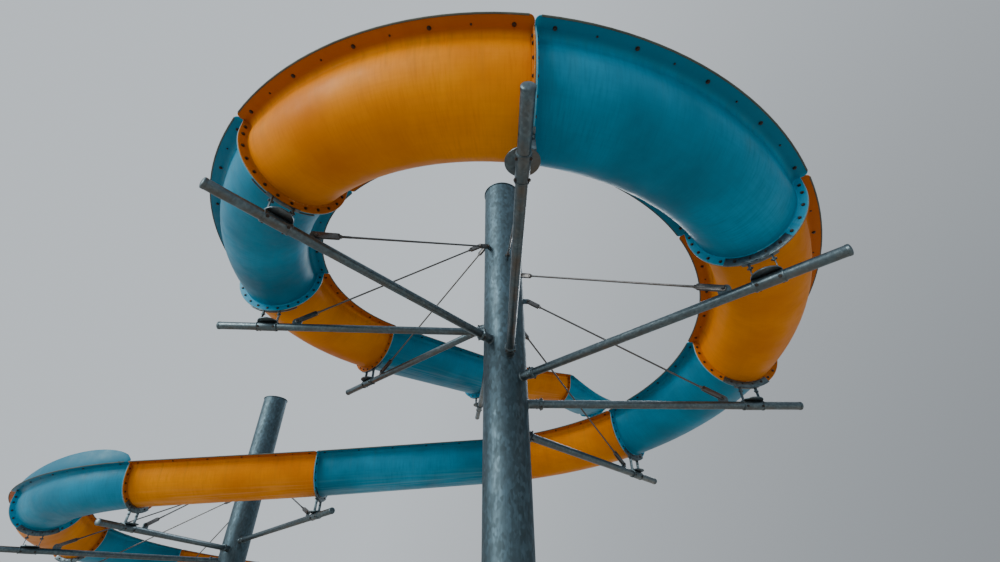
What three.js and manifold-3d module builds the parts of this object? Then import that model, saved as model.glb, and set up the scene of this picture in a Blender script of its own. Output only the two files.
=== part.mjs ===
// Water slide tower: an open half-round fibreglass flume winds round a steel column
// on bracket arms held up by tie rods, crosses to a second column and turns below it.
// Millimetres, +Z up. The origin is the middle of the main column's foot, on the ground.

import * as THREE from 'three';
import Module from 'manifold-3d';
import { mergeVertices } from 'three/addons/utils/BufferGeometryUtils.js';

const wasm = await Module();
wasm.setup();

// Clearance between pieces that touch, and how far joined shapes reach into each other.
const GAP = 0.3;
const BITE = 5;

// Flume cross-section, measured from the middle of the half round.
const INNER_RADIUS = 415;
const WALL = 10;
const LIP_HALF_WIDTH = 565;
const LIP_TOP = 105;
const COVE_RADIUS = 70;
const COVE_SEGMENTS = 2;
const FLANGE_RADIUS = 499;
const FLANGE_THICKNESS = 12;
const HALF_ROUND_SEGMENTS = 10;
const STEPS_PER_CURVE = 4;

// The flume's route, from the top end down: plan length of the centre line, turn to
// the left in degrees, and drop. Most curves come from one mould of 2800 mm radius.
const MOULD_RADIUS = 2800;
const MOULD_TURN = 44.65;
const MOULD_LENGTH = MOULD_RADIUS * THREE.MathUtils.degToRad(MOULD_TURN);
const SECTIONS = [
  { colour: 'blue', length: 1400, turn: 0, drop: 60 },
  { colour: 'orange', length: 2460, turn: 10, drop: 480 },
  { colour: 'blue', length: 2550, turn: 0, drop: 340 },
  { colour: 'orange', length: MOULD_LENGTH, turn: MOULD_TURN, drop: 195 },
  { colour: 'blue', length: MOULD_LENGTH, turn: MOULD_TURN, drop: 200 },
  { colour: 'orange', length: MOULD_LENGTH, turn: MOULD_TURN, drop: 215 },
  { colour: 'blue', length: MOULD_LENGTH, turn: MOULD_TURN, drop: 250 },
  { colour: 'orange', length: MOULD_LENGTH, turn: MOULD_TURN, drop: 250 },
  { colour: 'blue', length: MOULD_LENGTH, turn: MOULD_TURN, drop: 275 },
  { colour: 'orange', length: MOULD_LENGTH, turn: MOULD_TURN, drop: 205 },
  { colour: 'blue', length: 2780, turn: 0, drop: 190 },
  { colour: 'orange', length: 2720, turn: 0, drop: 150 },
  { colour: 'blue', length: MOULD_LENGTH, turn: -MOULD_TURN, drop: 200 },
  { colour: 'orange', length: MOULD_LENGTH, turn: -MOULD_TURN, drop: 220 },
  { colour: 'blue', length: MOULD_LENGTH, turn: -MOULD_TURN, drop: 220 },
  { colour: 'orange', length: MOULD_LENGTH, turn: -MOULD_TURN, drop: 220 },
];

// The first section is the entry: its sides sweep down to this share of their height.
const ENTRY_SHARE = 0.3;
const ENTRY_STEPS = 6;

// The joint where the turns round the main column begin, and its place on that circle.
const HELIX_START_JOINT = 3;
const HELIX_START_ANGLE = 137.6;
const HELIX_START_HEIGHT = 5255;

// A raised wall stands on the outer lip of this section.
const GUARD_SECTION = 12;
const GUARD_HEIGHT = 250;
const GUARD_END_HEIGHT = 40;
const GUARD_PEAK_SHARE = 0.3;
const GUARD_OFFSET = 510;
const GUARD_CLEARANCE = 0.8;

// Steel columns.
const COLUMN_RADIUS = 250;
const COLUMN_WALL = 10;
const COLUMN_SIDES = 24;
const COLUMNS = {
  main: { x: 0, y: 0, top: 6720 },
  lower: { x: -5240, y: 5650, top: 5800 },
};
const BASE_RADIUS = 430;
const BASE_THICKNESS = 30;
const GUSSET_COUNT = 6;
const GUSSET_HEIGHT = 260;
const GUSSET_THICKNESS = 12;
const GUSSET_EDGE = 20;
const PLATE_MARGIN = 15;
const CAP_RADIUS = 262;
const CAP_THICKNESS = 10;

// Bracket arms: one under each joint, from a column's side to past the flume.
const ARM_RADIUS = 44.5;
const ARM_SIDES = 8;
const ARM_OVERHANG = 565;
const STUB_RADIUS = 51;
const STUB_LENGTH = 160;
const COLLAR_RADIUS = 62;
const COLLAR_LENGTH = 36;
const SLEEVE_RADIUS = 51;
const SLEEVE_LENGTH = 240;
const END_CAP_LENGTH = 90;
const END_CAP_RADIUS = 46.5;
const SADDLE_HEIGHT = 218;
const DISC_RADIUS = 120;
const DISC_THICKNESS = 12;
const DISC_SIDES = 12;
const LEG_OFFSET = 95;
const LEG_WIDTH = 40;
const LEG_THICKNESS = 8;
const CRADLE_PLATE = 8;
const CRADLE_DEPTH = 66;
const CRADLE_CLEARANCE = 3;
const CRADLE_HALF_ANGLE = 33;
const CRADLE_SEGMENTS = 4;
const LUG_INSET = 330;
const LUG_HEIGHT = 90;
const LUG_LENGTH = 110;
const LUG_THICKNESS = 12;
const LUG_EYE = 30;

// Each arm stands under a joint between two sections. The near one is fixed to the
// side of the column, so it runs a little askew.
const ARMS = [
  { joint: 2, column: 'main', rootShift: 0, saddleShift: 0 },
  { joint: 3, column: 'main', rootShift: 0, saddleShift: 0 },
  { joint: 4, column: 'main', rootShift: 0, saddleShift: 0 },
  { joint: 5, column: 'main', rootShift: 0, saddleShift: 0 },
  { joint: 6, column: 'main', rootShift: 50, saddleShift: -62 },
  { joint: 7, column: 'main', rootShift: 0, saddleShift: 0 },
  { joint: 8, column: 'main', rootShift: 0, saddleShift: 0 },
  { joint: 9, column: 'main', rootShift: 0, saddleShift: 0 },
  { joint: 10, column: 'main', rootShift: 0, saddleShift: 0 },
  { joint: 11, column: 'lower', rootShift: 0, saddleShift: 0 },
  { joint: 12, column: 'lower', rootShift: 0, saddleShift: 0 },
  { joint: 13, column: 'lower', rootShift: 0, saddleShift: 0 },
  { joint: 14, column: 'lower', rootShift: 0, saddleShift: 0 },
  { joint: 15, column: 'lower', rootShift: 0, saddleShift: 0 },
];

// Tie rods, from a lug on the column down to the lug on the arm.
const ROD_RADIUS = 11;
const ROD_SIDES = 6;
const COLUMN_LUG_RISE = 1380;
const COLUMN_LUG_REACH = 90;
const COLUMN_LUG_HEIGHT = 70;
const FORK_PLATE = 10;
const FORK_HEIGHT = 54;
const TURNBUCKLE_LENGTH = 240;
const TOP_FORK_LENGTH = 160;
const FORK_OVERRUN = 25;
const FORK_ROOT = 30;

const MATERIALS = {
  blue: new THREE.MeshStandardMaterial({ color: 0x1583ad, roughness: 0.3, metalness: 0 }),
  orange: new THREE.MeshStandardMaterial({ color: 0xe07d10, roughness: 0.3, metalness: 0 }),
  steel: new THREE.MeshStandardMaterial({ color: 0x8d979c, roughness: 0.45, metalness: 0.9 }),
};

// Solids

function toSolid(geometry) {
  const bare = geometry.clone();
  bare.deleteAttribute('normal');
  bare.deleteAttribute('uv');
  const merged = mergeVertices(bare);
  return new wasm.Manifold(new wasm.Mesh({
    numProp: 3,
    vertProperties: new Float32Array(merged.attributes.position.array),
    triVerts: new Uint32Array(merged.index.array),
  }));
}

function toGeometry(solid) {
  const mesh = solid.getMesh();
  const geometry = new THREE.BufferGeometry();
  geometry.setAttribute('position', new THREE.BufferAttribute(mesh.vertProperties, 3));
  geometry.setIndex(new THREE.BufferAttribute(mesh.triVerts, 1));
  geometry.computeVertexNormals();
  return geometry;
}

function join(geometries) {
  return geometries.map(toSolid).reduce((whole, piece) => whole.add(piece));
}

function block(length, width, height, x, y, z) {
  return new THREE.BoxGeometry(length, width, height).translate(x, y, z);
}

// A round bar along X from one x to another.
function bar(radius, from, to, sides) {
  const geometry = new THREE.CylinderGeometry(radius, radius, to - from, sides);
  return geometry.rotateZ(-Math.PI / 2).translate((from + to) / 2, 0, 0);
}

// An upright round bar or disc from one height to another.
function post(radius, bottom, top, sides) {
  const geometry = new THREE.CylinderGeometry(radius, radius, top - bottom, sides);
  return geometry.rotateX(Math.PI / 2).translate(0, 0, (bottom + top) / 2);
}

function named(name, geometry, finish) {
  const mesh = new THREE.Mesh(geometry, MATERIALS[finish].clone());
  mesh.name = name;
  return mesh;
}

function twoDigits(number) {
  return String(number).padStart(2, '0');
}

// The route

// Place on a section's centre line in its own frame, which starts along +X.
function alongSection(section, distance) {
  const share = distance / section.length;
  const turn = THREE.MathUtils.degToRad(section.turn);
  const heading = turn * share;
  const z = -section.drop * share;
  if (turn === 0) {
    return { x: distance, y: 0, z, heading };
  }
  const radius = section.length / turn;
  return { x: radius * Math.sin(heading), y: radius * (1 - Math.cos(heading)), z, heading };
}

// The joint that follows a section which starts at the given joint.
function nextJoint(joint, section) {
  const step = alongSection(section, section.length);
  const cos = Math.cos(joint.heading);
  const sin = Math.sin(joint.heading);
  return {
    x: joint.x + step.x * cos - step.y * sin,
    y: joint.y + step.x * sin + step.y * cos,
    z: joint.z + step.z,
    heading: joint.heading + step.heading,
  };
}

// All joints are laid out from the top end, then turned and moved as one so that the
// joint where the helix begins lies on its circle round the main column.
function layJoints() {
  const joints = [{ x: 0, y: 0, z: 0, heading: 0 }];
  for (const section of SECTIONS) {
    joints.push(nextJoint(joints[joints.length - 1], section));
  }
  const start = joints[HELIX_START_JOINT];
  const angle = THREE.MathUtils.degToRad(HELIX_START_ANGLE);
  const swing = angle + Math.PI / 2 - start.heading;
  const target = new THREE.Vector2(MOULD_RADIUS, 0).rotateAround(new THREE.Vector2(), angle);
  return joints.map((joint) => {
    const offset = new THREE.Vector2(joint.x - start.x, joint.y - start.y);
    const place = offset.rotateAround(new THREE.Vector2(), swing).add(target);
    return {
      x: place.x,
      y: place.y,
      z: joint.z - start.z + HELIX_START_HEIGHT,
      heading: joint.heading + swing,
    };
  });
}

const joints = layJoints();

// The flume

function arcPoints(centreX, centreY, radius, fromDegrees, toDegrees, segments) {
  const points = [];
  for (let i = 0; i <= segments; i++) {
    const degrees = fromDegrees + ((toDegrees - fromDegrees) * i) / segments;
    const angle = THREE.MathUtils.degToRad(degrees);
    points.push([centreX + radius * Math.cos(angle), centreY + radius * Math.sin(angle)]);
  }
  return points;
}

// One skin of the shell from lip to lip: the half round, and a cove out to each lip.
function skin(wall) {
  const coveX = INNER_RADIUS + COVE_RADIUS;
  const coveY = LIP_TOP - COVE_RADIUS;
  const coveRadius = COVE_RADIUS - wall;
  const lipY = LIP_TOP - wall;
  return [
    [-LIP_HALF_WIDTH, lipY],
    ...arcPoints(-coveX, coveY, coveRadius, 90, 0, COVE_SEGMENTS),
    ...arcPoints(0, 0, INNER_RADIUS + wall, 180, 360, HALF_ROUND_SEGMENTS),
    ...arcPoints(coveX, coveY, coveRadius, 180, 90, COVE_SEGMENTS),
    [LIP_HALF_WIDTH, lipY],
  ];
}

// The outer skin pushed out to the edge of the end flange. The lips stay as they are.
function toFlange([x, y]) {
  const radius = Math.hypot(x, y);
  if (y <= 0) {
    return [(x * FLANGE_RADIUS) / radius, (y * FLANGE_RADIUS) / radius];
  }
  return Math.abs(x) < FLANGE_RADIUS ? [Math.sign(x) * FLANGE_RADIUS, y] : [x, y];
}

// Every point of the closed section, with its place on the shell and on the flange.
function flumeProfile() {
  const inside = skin(0).map((point) => ({ shell: point, flange: point }));
  const outside = skin(WALL).map((point) => ({ shell: point, flange: toFlange(point) }));
  return [...outside, ...inside.reverse()];
}

const profile = flumeProfile();
const profileShape = new THREE.Shape(profile.map(({ shell }) => new THREE.Vector2(...shell)));

function profilePoint(x, y) {
  return profile.find(({ shell }) => Math.hypot(shell[0] - x, shell[1] - y) < 0.01);
}

function sectionSteps(section) {
  if (section === SECTIONS[0]) {
    return ENTRY_STEPS;
  }
  return section.turn === 0 ? 1 : STEPS_PER_CURVE;
}

// The height of a point at a distance along a section. The sides of the entry section
// fall away from its joint, the floor stays where it is.
function heightAlong(section, distance, height) {
  if (section !== SECTIONS[0] || height <= -INNER_RADIUS) {
    return height;
  }
  const rise = 1 - Math.cos((Math.PI / 2) * (distance / section.length));
  const share = ENTRY_SHARE + (1 - ENTRY_SHARE) * rise;
  return (height + INNER_RADIUS) * share - INNER_RADIUS;
}

// Rings along a section: a flange ring at each end, the shell between. On the back of
// a flange the points that don't step in to the shell stay half way through it. Face
// is the distance of the end face that a ring is parallel to, as flanges are flat.
function ringsAlong(section) {
  const start = GAP / 2;
  const end = section.length - GAP / 2;
  const steps = sectionSteps(section);
  const flangeRings = (face, inward) => {
    const back = face + inward * FLANGE_THICKNESS;
    return [
      { at: face, flange: true, still: face, face },
      { at: back, flange: true, still: (face + back) / 2, face },
      { at: back, flange: false, still: back, face },
    ];
  };
  const shellRings = [];
  for (let i = 1; i < steps; i++) {
    const at = start + ((end - start) * i) / steps;
    shellRings.push({ at, flange: false, still: at, face: at });
  }
  return [...flangeRings(start, 1), ...shellRings, ...flangeRings(end, -1).reverse()];
}

// Sends each point of an extrusion to its place along a section. placePoint gives its
// distance along the centre line, its offset to the left and its height, and the
// distance of the face that it is laid out straight on from.
function bend(geometry, section, placePoint) {
  const position = geometry.attributes.position;
  for (let i = 0; i < position.count; i++) {
    const point = placePoint(position.getX(i), position.getY(i), Math.round(position.getZ(i)));
    const face = alongSection(section, point.face);
    const cos = Math.cos(face.heading);
    const sin = Math.sin(face.heading);
    const onward = point.distance - point.face;
    position.setXYZ(
      i,
      face.x + onward * cos - point.left * sin,
      face.y + onward * sin + point.left * cos,
      point.up - (section.drop * point.distance) / section.length,
    );
  }
  return geometry;
}

// A shape extruded in steps of 1.
function extrudeRings(shape, count) {
  const options = { depth: count, steps: count, bevelEnabled: false };
  return new THREE.ExtrudeGeometry(shape, options);
}

function flumeSection(section) {
  const rings = ringsAlong(section);
  const tube = extrudeRings(profileShape, rings.length - 1);
  return bend(tube, section, (x, y, index) => {
    const ring = rings[index];
    const { shell, flange } = profilePoint(x, y);
    const moves = shell !== flange && (shell[0] !== flange[0] || shell[1] !== flange[1]);
    const [left, height] = ring.flange ? flange : shell;
    const distance = moves ? ring.at : ring.still;
    return { distance, face: ring.face, left, up: heightAlong(section, ring.at, height) };
  });
}

// The raised wall: tallest a third of the way along its section.
function guardWall(section) {
  const shape = new THREE.Shape([
    new THREE.Vector2(0, 0),
    new THREE.Vector2(WALL, 0),
    new THREE.Vector2(WALL, 1),
    new THREE.Vector2(0, 1),
  ]);
  const steps = STEPS_PER_CURVE * 2;
  const lean = Math.log(0.5) / Math.log(GUARD_PEAK_SHARE);
  const foot = LIP_TOP + GUARD_CLEARANCE;
  return bend(extrudeRings(shape, steps), section, (x, y, index) => {
    const share = index / steps;
    const swell = Math.sin(Math.PI * share ** lean);
    const height = GUARD_END_HEIGHT + (GUARD_HEIGHT - GUARD_END_HEIGHT) * swell;
    const distance = FLANGE_THICKNESS + (section.length - 2 * FLANGE_THICKNESS) * share;
    return { distance, face: distance, left: GUARD_OFFSET + x, up: foot + y * height };
  });
}

function onJoint(mesh, joint) {
  mesh.position.set(joint.x, joint.y, joint.z);
  mesh.rotation.z = joint.heading;
  return mesh;
}

// Arms

// Where an arm starts on its column and ends under the flume, seen in plan.
function armLine(arm) {
  const joint = joints[arm.joint];
  const column = COLUMNS[arm.column];
  const saddle = new THREE.Vector2(
    joint.x + arm.saddleShift * Math.cos(joint.heading),
    joint.y + arm.saddleShift * Math.sin(joint.heading),
  );
  const spoke = new THREE.Vector2(joint.x - column.x, joint.y - column.y).normalize();
  const root = new THREE.Vector2(
    column.x - spoke.y * arm.rootShift,
    column.y + spoke.x * arm.rootShift,
  );
  const span = saddle.clone().sub(root);
  const height = joint.z - FLANGE_RADIUS - SADDLE_HEIGHT;
  return { joint, column, root, reach: span.length(), angle: span.angle(), height };
}

// A flat plate shaped as a band of a circle, upright in the YZ plane.
function bandPlate(inner, outer, halfAngle, from, to) {
  const low = 270 - halfAngle;
  const high = 270 + halfAngle;
  const shape = new THREE.Shape([
    ...arcPoints(0, 0, outer, low, high, CRADLE_SEGMENTS),
    ...arcPoints(0, 0, inner, high, low, CRADLE_SEGMENTS),
  ].map((point) => new THREE.Vector2(...point)));
  const plate = extrudeRings(shape, 1).scale(1, 1, to - from);
  return plate.translate(0, 0, from).rotateX(Math.PI / 2).rotateZ(Math.PI / 2);
}

// The steel cradle round the lower edge of a pair of flanges, with its origin at the
// middle of the half round and the flume running along X.
function cradle() {
  const grip = FLANGE_THICKNESS + GAP * 1.5;
  const inner = FLANGE_RADIUS - CRADLE_DEPTH;
  const shoe = FLANGE_RADIUS + CRADLE_CLEARANCE;
  const outer = shoe + CRADLE_PLATE;
  const legTop = -Math.sqrt((shoe + CRADLE_PLATE / 2) ** 2 - LEG_OFFSET ** 2);
  const armAxis = -FLANGE_RADIUS - SADDLE_HEIGHT;
  const legBottom = armAxis + SLEEVE_RADIUS + DISC_THICKNESS / 2;
  const pieces = [
    bandPlate(inner, outer, CRADLE_HALF_ANGLE, -grip - CRADLE_PLATE, -grip),
    bandPlate(shoe, outer, CRADLE_HALF_ANGLE / 2, -grip - CRADLE_PLATE / 2, LEG_WIDTH / 2),
  ];
  const height = legTop - legBottom;
  for (const side of [-LEG_OFFSET, LEG_OFFSET]) {
    pieces.push(block(LEG_WIDTH, LEG_THICKNESS, height, 0, side, (legTop + legBottom) / 2));
  }
  return pieces;
}

// A place on the ground plan, seen from the arm's root along the arm.
function fromRoot(line, x, y) {
  const offset = new THREE.Vector2(x - line.root.x, y - line.root.y);
  return offset.rotateAround(new THREE.Vector2(), -line.angle);
}

function armSolid(line) {
  const { joint, column, reach, angle, height } = line;
  const rootStart = COLUMN_RADIUS / 2;
  const stubEnd = COLUMN_RADIUS + STUB_LENGTH;
  const tip = reach + ARM_OVERHANG;
  const lugX = reach - LUG_INSET;
  const lugTop = LUG_HEIGHT + LUG_EYE;
  const discBottom = SLEEVE_RADIUS - 2;
  const disc = post(DISC_RADIUS, discBottom, discBottom + DISC_THICKNESS, DISC_SIDES);
  const pieces = [
    bar(ARM_RADIUS, rootStart, tip, ARM_SIDES),
    bar(STUB_RADIUS, rootStart, stubEnd, ARM_SIDES),
    bar(COLLAR_RADIUS, stubEnd - COLLAR_LENGTH, stubEnd, ARM_SIDES),
    bar(SLEEVE_RADIUS, reach - SLEEVE_LENGTH / 2, reach + SLEEVE_LENGTH / 2, ARM_SIDES),
    bar(END_CAP_RADIUS, tip - END_CAP_LENGTH, tip, ARM_SIDES),
    disc.translate(reach, 0, 0),
    block(LUG_LENGTH, LUG_THICKNESS, lugTop, lugX, 0, lugTop / 2),
  ];
  const under = fromRoot(line, joint.x, joint.y);
  for (const piece of cradle()) {
    const turned = piece.rotateZ(joint.heading - angle);
    pieces.push(turned.translate(under.x, under.y, joint.z - height));
  }
  const centre = fromRoot(line, column.x, column.y);
  const cut = post(COLUMN_RADIUS + GAP, -COLLAR_RADIUS, COLLAR_RADIUS, COLUMN_SIDES);
  return join(pieces).subtract(toSolid(cut.rotateZ(-angle).translate(centre.x, centre.y, 0)));
}

function armMesh(arm) {
  const line = armLine(arm);
  const mesh = named(`arm_${twoDigits(arm.joint)}`, toGeometry(armSolid(line)), 'steel');
  mesh.position.set(line.root.x, line.root.y, line.height);
  mesh.rotation.z = line.angle;
  return mesh;
}

// Tie rods

// Pin places at the column's lug and at the arm's lug, along the arm from its root.
function rodPins(line) {
  const top = new THREE.Vector2(COLUMN_RADIUS + COLUMN_LUG_REACH - LUG_EYE, COLUMN_LUG_RISE);
  const bottom = new THREE.Vector2(line.reach - LUG_INSET, LUG_HEIGHT);
  return { top, bottom, length: top.distanceTo(bottom) };
}

// The rod along X, from the pin in the column's lug to the pin in the arm's lug: a
// short fork at the column, and at the arm a turnbuckle made as a long open frame.
function rodSolid(length) {
  const cheek = LUG_THICKNESS / 2 + GAP + FORK_PLATE / 2;
  const inside = LUG_THICKNESS + 2 * GAP + FORK_PLATE;
  const frameStart = length - TURNBUCKLE_LENGTH;
  const rodStart = TOP_FORK_LENGTH - FORK_ROOT / 2;
  const rodEnd = frameStart + FORK_ROOT / 2;
  const pieces = [
    bar(ROD_RADIUS, rodStart, rodEnd, ROD_SIDES),
    block(FORK_ROOT, inside, FORK_HEIGHT, rodStart, 0, 0),
    block(FORK_ROOT, inside, FORK_HEIGHT, rodEnd, 0, 0),
  ];
  const topLength = TOP_FORK_LENGTH + FORK_OVERRUN;
  const topMiddle = topLength / 2 - FORK_OVERRUN;
  const frameLength = TURNBUCKLE_LENGTH + FORK_OVERRUN;
  const frameMiddle = frameStart + frameLength / 2;
  for (const side of [-cheek, cheek]) {
    pieces.push(block(topLength, FORK_PLATE, FORK_HEIGHT, topMiddle, side, 0));
    pieces.push(block(frameLength, FORK_PLATE, FORK_HEIGHT, frameMiddle, side, 0));
  }
  return join(pieces);
}

function rodMesh(arm) {
  const line = armLine(arm);
  const { top, bottom, length } = rodPins(line);
  const mesh = named(`tie_rod_${twoDigits(arm.joint)}`, toGeometry(rodSolid(length)), 'steel');
  const slope = Math.atan2(bottom.y - top.y, bottom.x - top.x);
  mesh.position.set(
    line.root.x + top.x * Math.cos(line.angle),
    line.root.y + top.x * Math.sin(line.angle),
    line.height + top.y,
  );
  mesh.rotation.order = 'ZYX';
  mesh.rotation.set(0, -slope, line.angle);
  return mesh;
}

// Columns

function columnTube(bottom, top) {
  const inner = COLUMN_RADIUS - COLUMN_WALL;
  const outline = [
    new THREE.Vector2(inner, bottom),
    new THREE.Vector2(COLUMN_RADIUS, bottom),
    new THREE.Vector2(COLUMN_RADIUS, top),
    new THREE.Vector2(inner, top),
    new THREE.Vector2(inner, bottom),
  ];
  return new THREE.LatheGeometry(outline, COLUMN_SIDES).rotateX(Math.PI / 2);
}

// The lug that an arm's tie rod hangs from, in the column's frame. It starts inside
// the column's wall, which is nearer the axis on an arm that is fixed to its side.
function columnLug(arm, column) {
  const line = armLine(arm);
  const start = Math.sqrt(COLUMN_RADIUS ** 2 - arm.rootShift ** 2) - COLUMN_WALL;
  const end = COLUMN_RADIUS + COLUMN_LUG_REACH;
  const lug = block(end - start, LUG_THICKNESS, COLUMN_LUG_HEIGHT, (start + end) / 2, 0, 0);
  const { root, angle, height } = line;
  return lug.rotateZ(angle).translate(root.x - column.x, root.y - column.y, height + COLUMN_LUG_RISE);
}

function columnBase() {
  const pieces = [post(BASE_RADIUS, 0, BASE_THICKNESS, COLUMN_SIDES)];
  const inner = COLUMN_RADIUS - BITE;
  const outer = BASE_RADIUS - PLATE_MARGIN;
  const foot = BASE_THICKNESS - BITE;
  const shape = new THREE.Shape([
    new THREE.Vector2(inner, foot),
    new THREE.Vector2(outer, foot),
    new THREE.Vector2(outer, BASE_THICKNESS + GUSSET_EDGE),
    new THREE.Vector2(COLUMN_RADIUS + GUSSET_EDGE, GUSSET_HEIGHT),
    new THREE.Vector2(inner, GUSSET_HEIGHT),
  ]);
  for (let i = 0; i < GUSSET_COUNT; i++) {
    const gusset = extrudeRings(shape, 1).scale(1, 1, GUSSET_THICKNESS);
    gusset.translate(0, 0, -GUSSET_THICKNESS / 2).rotateX(Math.PI / 2);
    pieces.push(gusset.rotateZ((2 * Math.PI * i) / GUSSET_COUNT));
  }
  const socket = post(COLUMN_RADIUS + GAP, BASE_THICKNESS, GUSSET_HEIGHT + BITE, COLUMN_SIDES);
  return join(pieces).subtract(toSolid(socket));
}

function columnMeshes(name, column) {
  const arms = ARMS.filter((arm) => COLUMNS[arm.column] === column);
  const lugs = arms.map((arm) => columnLug(arm, column));
  const shaft = join([columnTube(BASE_THICKNESS + GAP, column.top), ...lugs]);
  const cap = post(CAP_RADIUS, column.top + GAP, column.top + GAP + CAP_THICKNESS, COLUMN_SIDES);
  const meshes = [
    named(`${name}_column`, toGeometry(shaft), 'steel'),
    named(`${name}_column_base`, toGeometry(columnBase()), 'steel'),
    named(`${name}_column_cap`, cap, 'steel'),
  ];
  for (const mesh of meshes) {
    mesh.position.set(column.x, column.y, 0);
  }
  return meshes;
}

const tower = new THREE.Group();

for (const [name, column] of Object.entries(COLUMNS)) {
  tower.add(...columnMeshes(name, column));
}
SECTIONS.forEach((section, index) => {
  const name = `flume_${twoDigits(index + 1)}`;
  tower.add(onJoint(named(name, flumeSection(section), section.colour), joints[index]));
});
const guarded = SECTIONS[GUARD_SECTION];
const guard = named('splash_guard', guardWall(guarded), guarded.colour);
tower.add(onJoint(guard, joints[GUARD_SECTION]));
for (const arm of ARMS) {
  tower.add(armMesh(arm), rodMesh(arm));
}

export default tower;
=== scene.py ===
# %% [markdown]
# # Dressing a water slide tower
#
# A water slide is a half-round channel of fibreglass, bolted together from short
# sections and hung round a steel tube on bracket arms. The solid model of this one is
# already there, but it is plain and faceted. This lesson builds finer pieces over it,
# gives them their finishes, and sets up a camera and a soft light.

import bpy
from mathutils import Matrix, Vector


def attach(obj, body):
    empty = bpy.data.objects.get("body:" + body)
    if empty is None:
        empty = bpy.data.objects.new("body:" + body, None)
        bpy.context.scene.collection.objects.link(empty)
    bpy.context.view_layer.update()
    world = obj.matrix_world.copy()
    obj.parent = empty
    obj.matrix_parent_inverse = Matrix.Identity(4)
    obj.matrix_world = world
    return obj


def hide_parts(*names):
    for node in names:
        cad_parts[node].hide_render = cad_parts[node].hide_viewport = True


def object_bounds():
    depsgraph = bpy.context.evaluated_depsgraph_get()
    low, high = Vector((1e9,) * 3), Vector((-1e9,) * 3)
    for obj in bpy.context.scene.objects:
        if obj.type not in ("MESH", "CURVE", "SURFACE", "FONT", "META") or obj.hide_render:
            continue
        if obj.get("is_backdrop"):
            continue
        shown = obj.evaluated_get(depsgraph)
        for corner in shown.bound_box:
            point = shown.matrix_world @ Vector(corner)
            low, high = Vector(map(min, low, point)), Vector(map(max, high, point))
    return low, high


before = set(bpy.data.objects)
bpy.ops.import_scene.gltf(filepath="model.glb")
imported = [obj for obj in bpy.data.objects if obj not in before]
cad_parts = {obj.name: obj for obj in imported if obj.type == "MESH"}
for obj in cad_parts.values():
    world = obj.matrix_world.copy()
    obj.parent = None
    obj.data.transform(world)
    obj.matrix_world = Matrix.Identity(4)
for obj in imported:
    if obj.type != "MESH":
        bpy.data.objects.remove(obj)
solid_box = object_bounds()
print("solid model:", len(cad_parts), "nodes")

# %% Bring in what the lesson uses
from collections import namedtuple
from math import atan2, copysign, cos, degrees, hypot, log, pi, radians, sin, sqrt

import bmesh
import bpy
from mathutils import Matrix, Vector


def rounded(values, digits=2):
    return [round(value, digits) for value in values]


print("solid box from", rounded(solid_box[0]), "to", rounded(solid_box[1]))

# %% [markdown]
# ## The route
#
# Every piece hangs on the slide's centre line, so that comes first. It could be drawn
# as one long curve, but real slides are bolted together from a few moulds: straight
# sections, and one curve of 2.8 m radius. The route is therefore a list of sections,
# and a matrix says where each joint lies and which way the slide runs there.

# %% List the sections
Section = namedtuple("Section", "colour length turn drop")

MOULD_RADIUS = 2.8
MOULD_TURN = radians(44.65)
MOULD_LENGTH = MOULD_RADIUS * MOULD_TURN
HELIX_DROPS = (0.195, 0.200, 0.215, 0.250, 0.250, 0.275, 0.205)
RETURN_DROPS = (0.200, 0.220, 0.220, 0.220)

runs = [
    (1.40, 0, 0.060), (2.46, radians(10), 0.480), (2.55, 0, 0.340),
    *((MOULD_LENGTH, MOULD_TURN, drop) for drop in HELIX_DROPS),
    (2.78, 0, 0.190), (2.72, 0, 0.150),
    *((MOULD_LENGTH, -MOULD_TURN, drop) for drop in RETURN_DROPS),
]
route = [Section(("blue", "orange")[index % 2], *run) for index, run in enumerate(runs)]
print(len(route), "sections,", round(sum(section.length for section in route), 1), "m")

# %% Lay out the joints
HELIX_START = 3
HELIX_ANGLE = radians(137.6)
HELIX_HEIGHT = 5.255


def move(x=0, y=0, z=0):
    """A matrix that moves things, as rotate's matrix turns them."""
    return Matrix.Translation((x, y, z))


def rotate(angle, axis):
    return Matrix.Rotation(angle, 4, axis)


def walk(section, distance):
    """The place and heading at a distance along a section, from the section's start."""
    share = distance / section.length
    heading = section.turn * share
    place = Vector((distance, 0, -section.drop * share))
    if section.turn:
        radius = section.length / section.turn
        place.x = radius * sin(heading)
        place.y = radius * (1 - cos(heading))
    return move(*place) @ rotate(heading, "Z")


joints = [Matrix()]
for section in route:
    joints.append(joints[-1] @ walk(section, section.length))
helix_start = rotate(HELIX_ANGLE, "Z") @ move(MOULD_RADIUS, 0, HELIX_HEIGHT) @ rotate(pi / 2, "Z")
to_tower = helix_start @ joints[HELIX_START].inverted()
joints = [to_tower @ joint for joint in joints]
print("top end at", rounded(joints[0].translation))
print("lower end at", rounded(joints[-1].translation))

# %% [markdown]
# ## Finishes
#
# Two families of finish cover the tower: gelcoat on the channel and zinc on the steel.
# Outdoors neither stays one flat colour. The patterns that they share, such as cloudy
# tone and streaks, are node groups, so each finish can use them with its own numbers.

# %% Helpers for building materials
def plug(socket, value):
    """Links a socket to another, or gives it a plain value."""
    if isinstance(value, bpy.types.NodeSocket):
        socket.id_data.links.new(value, socket)
    else:
        socket.default_value = value


def add_node(tree, kind, values=(), **settings):
    """Adds a shader node. Its values are given by name, or in the order of its sockets."""
    node = tree.nodes.new("ShaderNode" + kind)
    for name, value in settings.items():
        setattr(node, name, value)
    named = values if isinstance(values, dict) else dict(enumerate(values))
    for name, value in named.items():
        plug(node.inputs[name], value)
    return node


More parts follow.
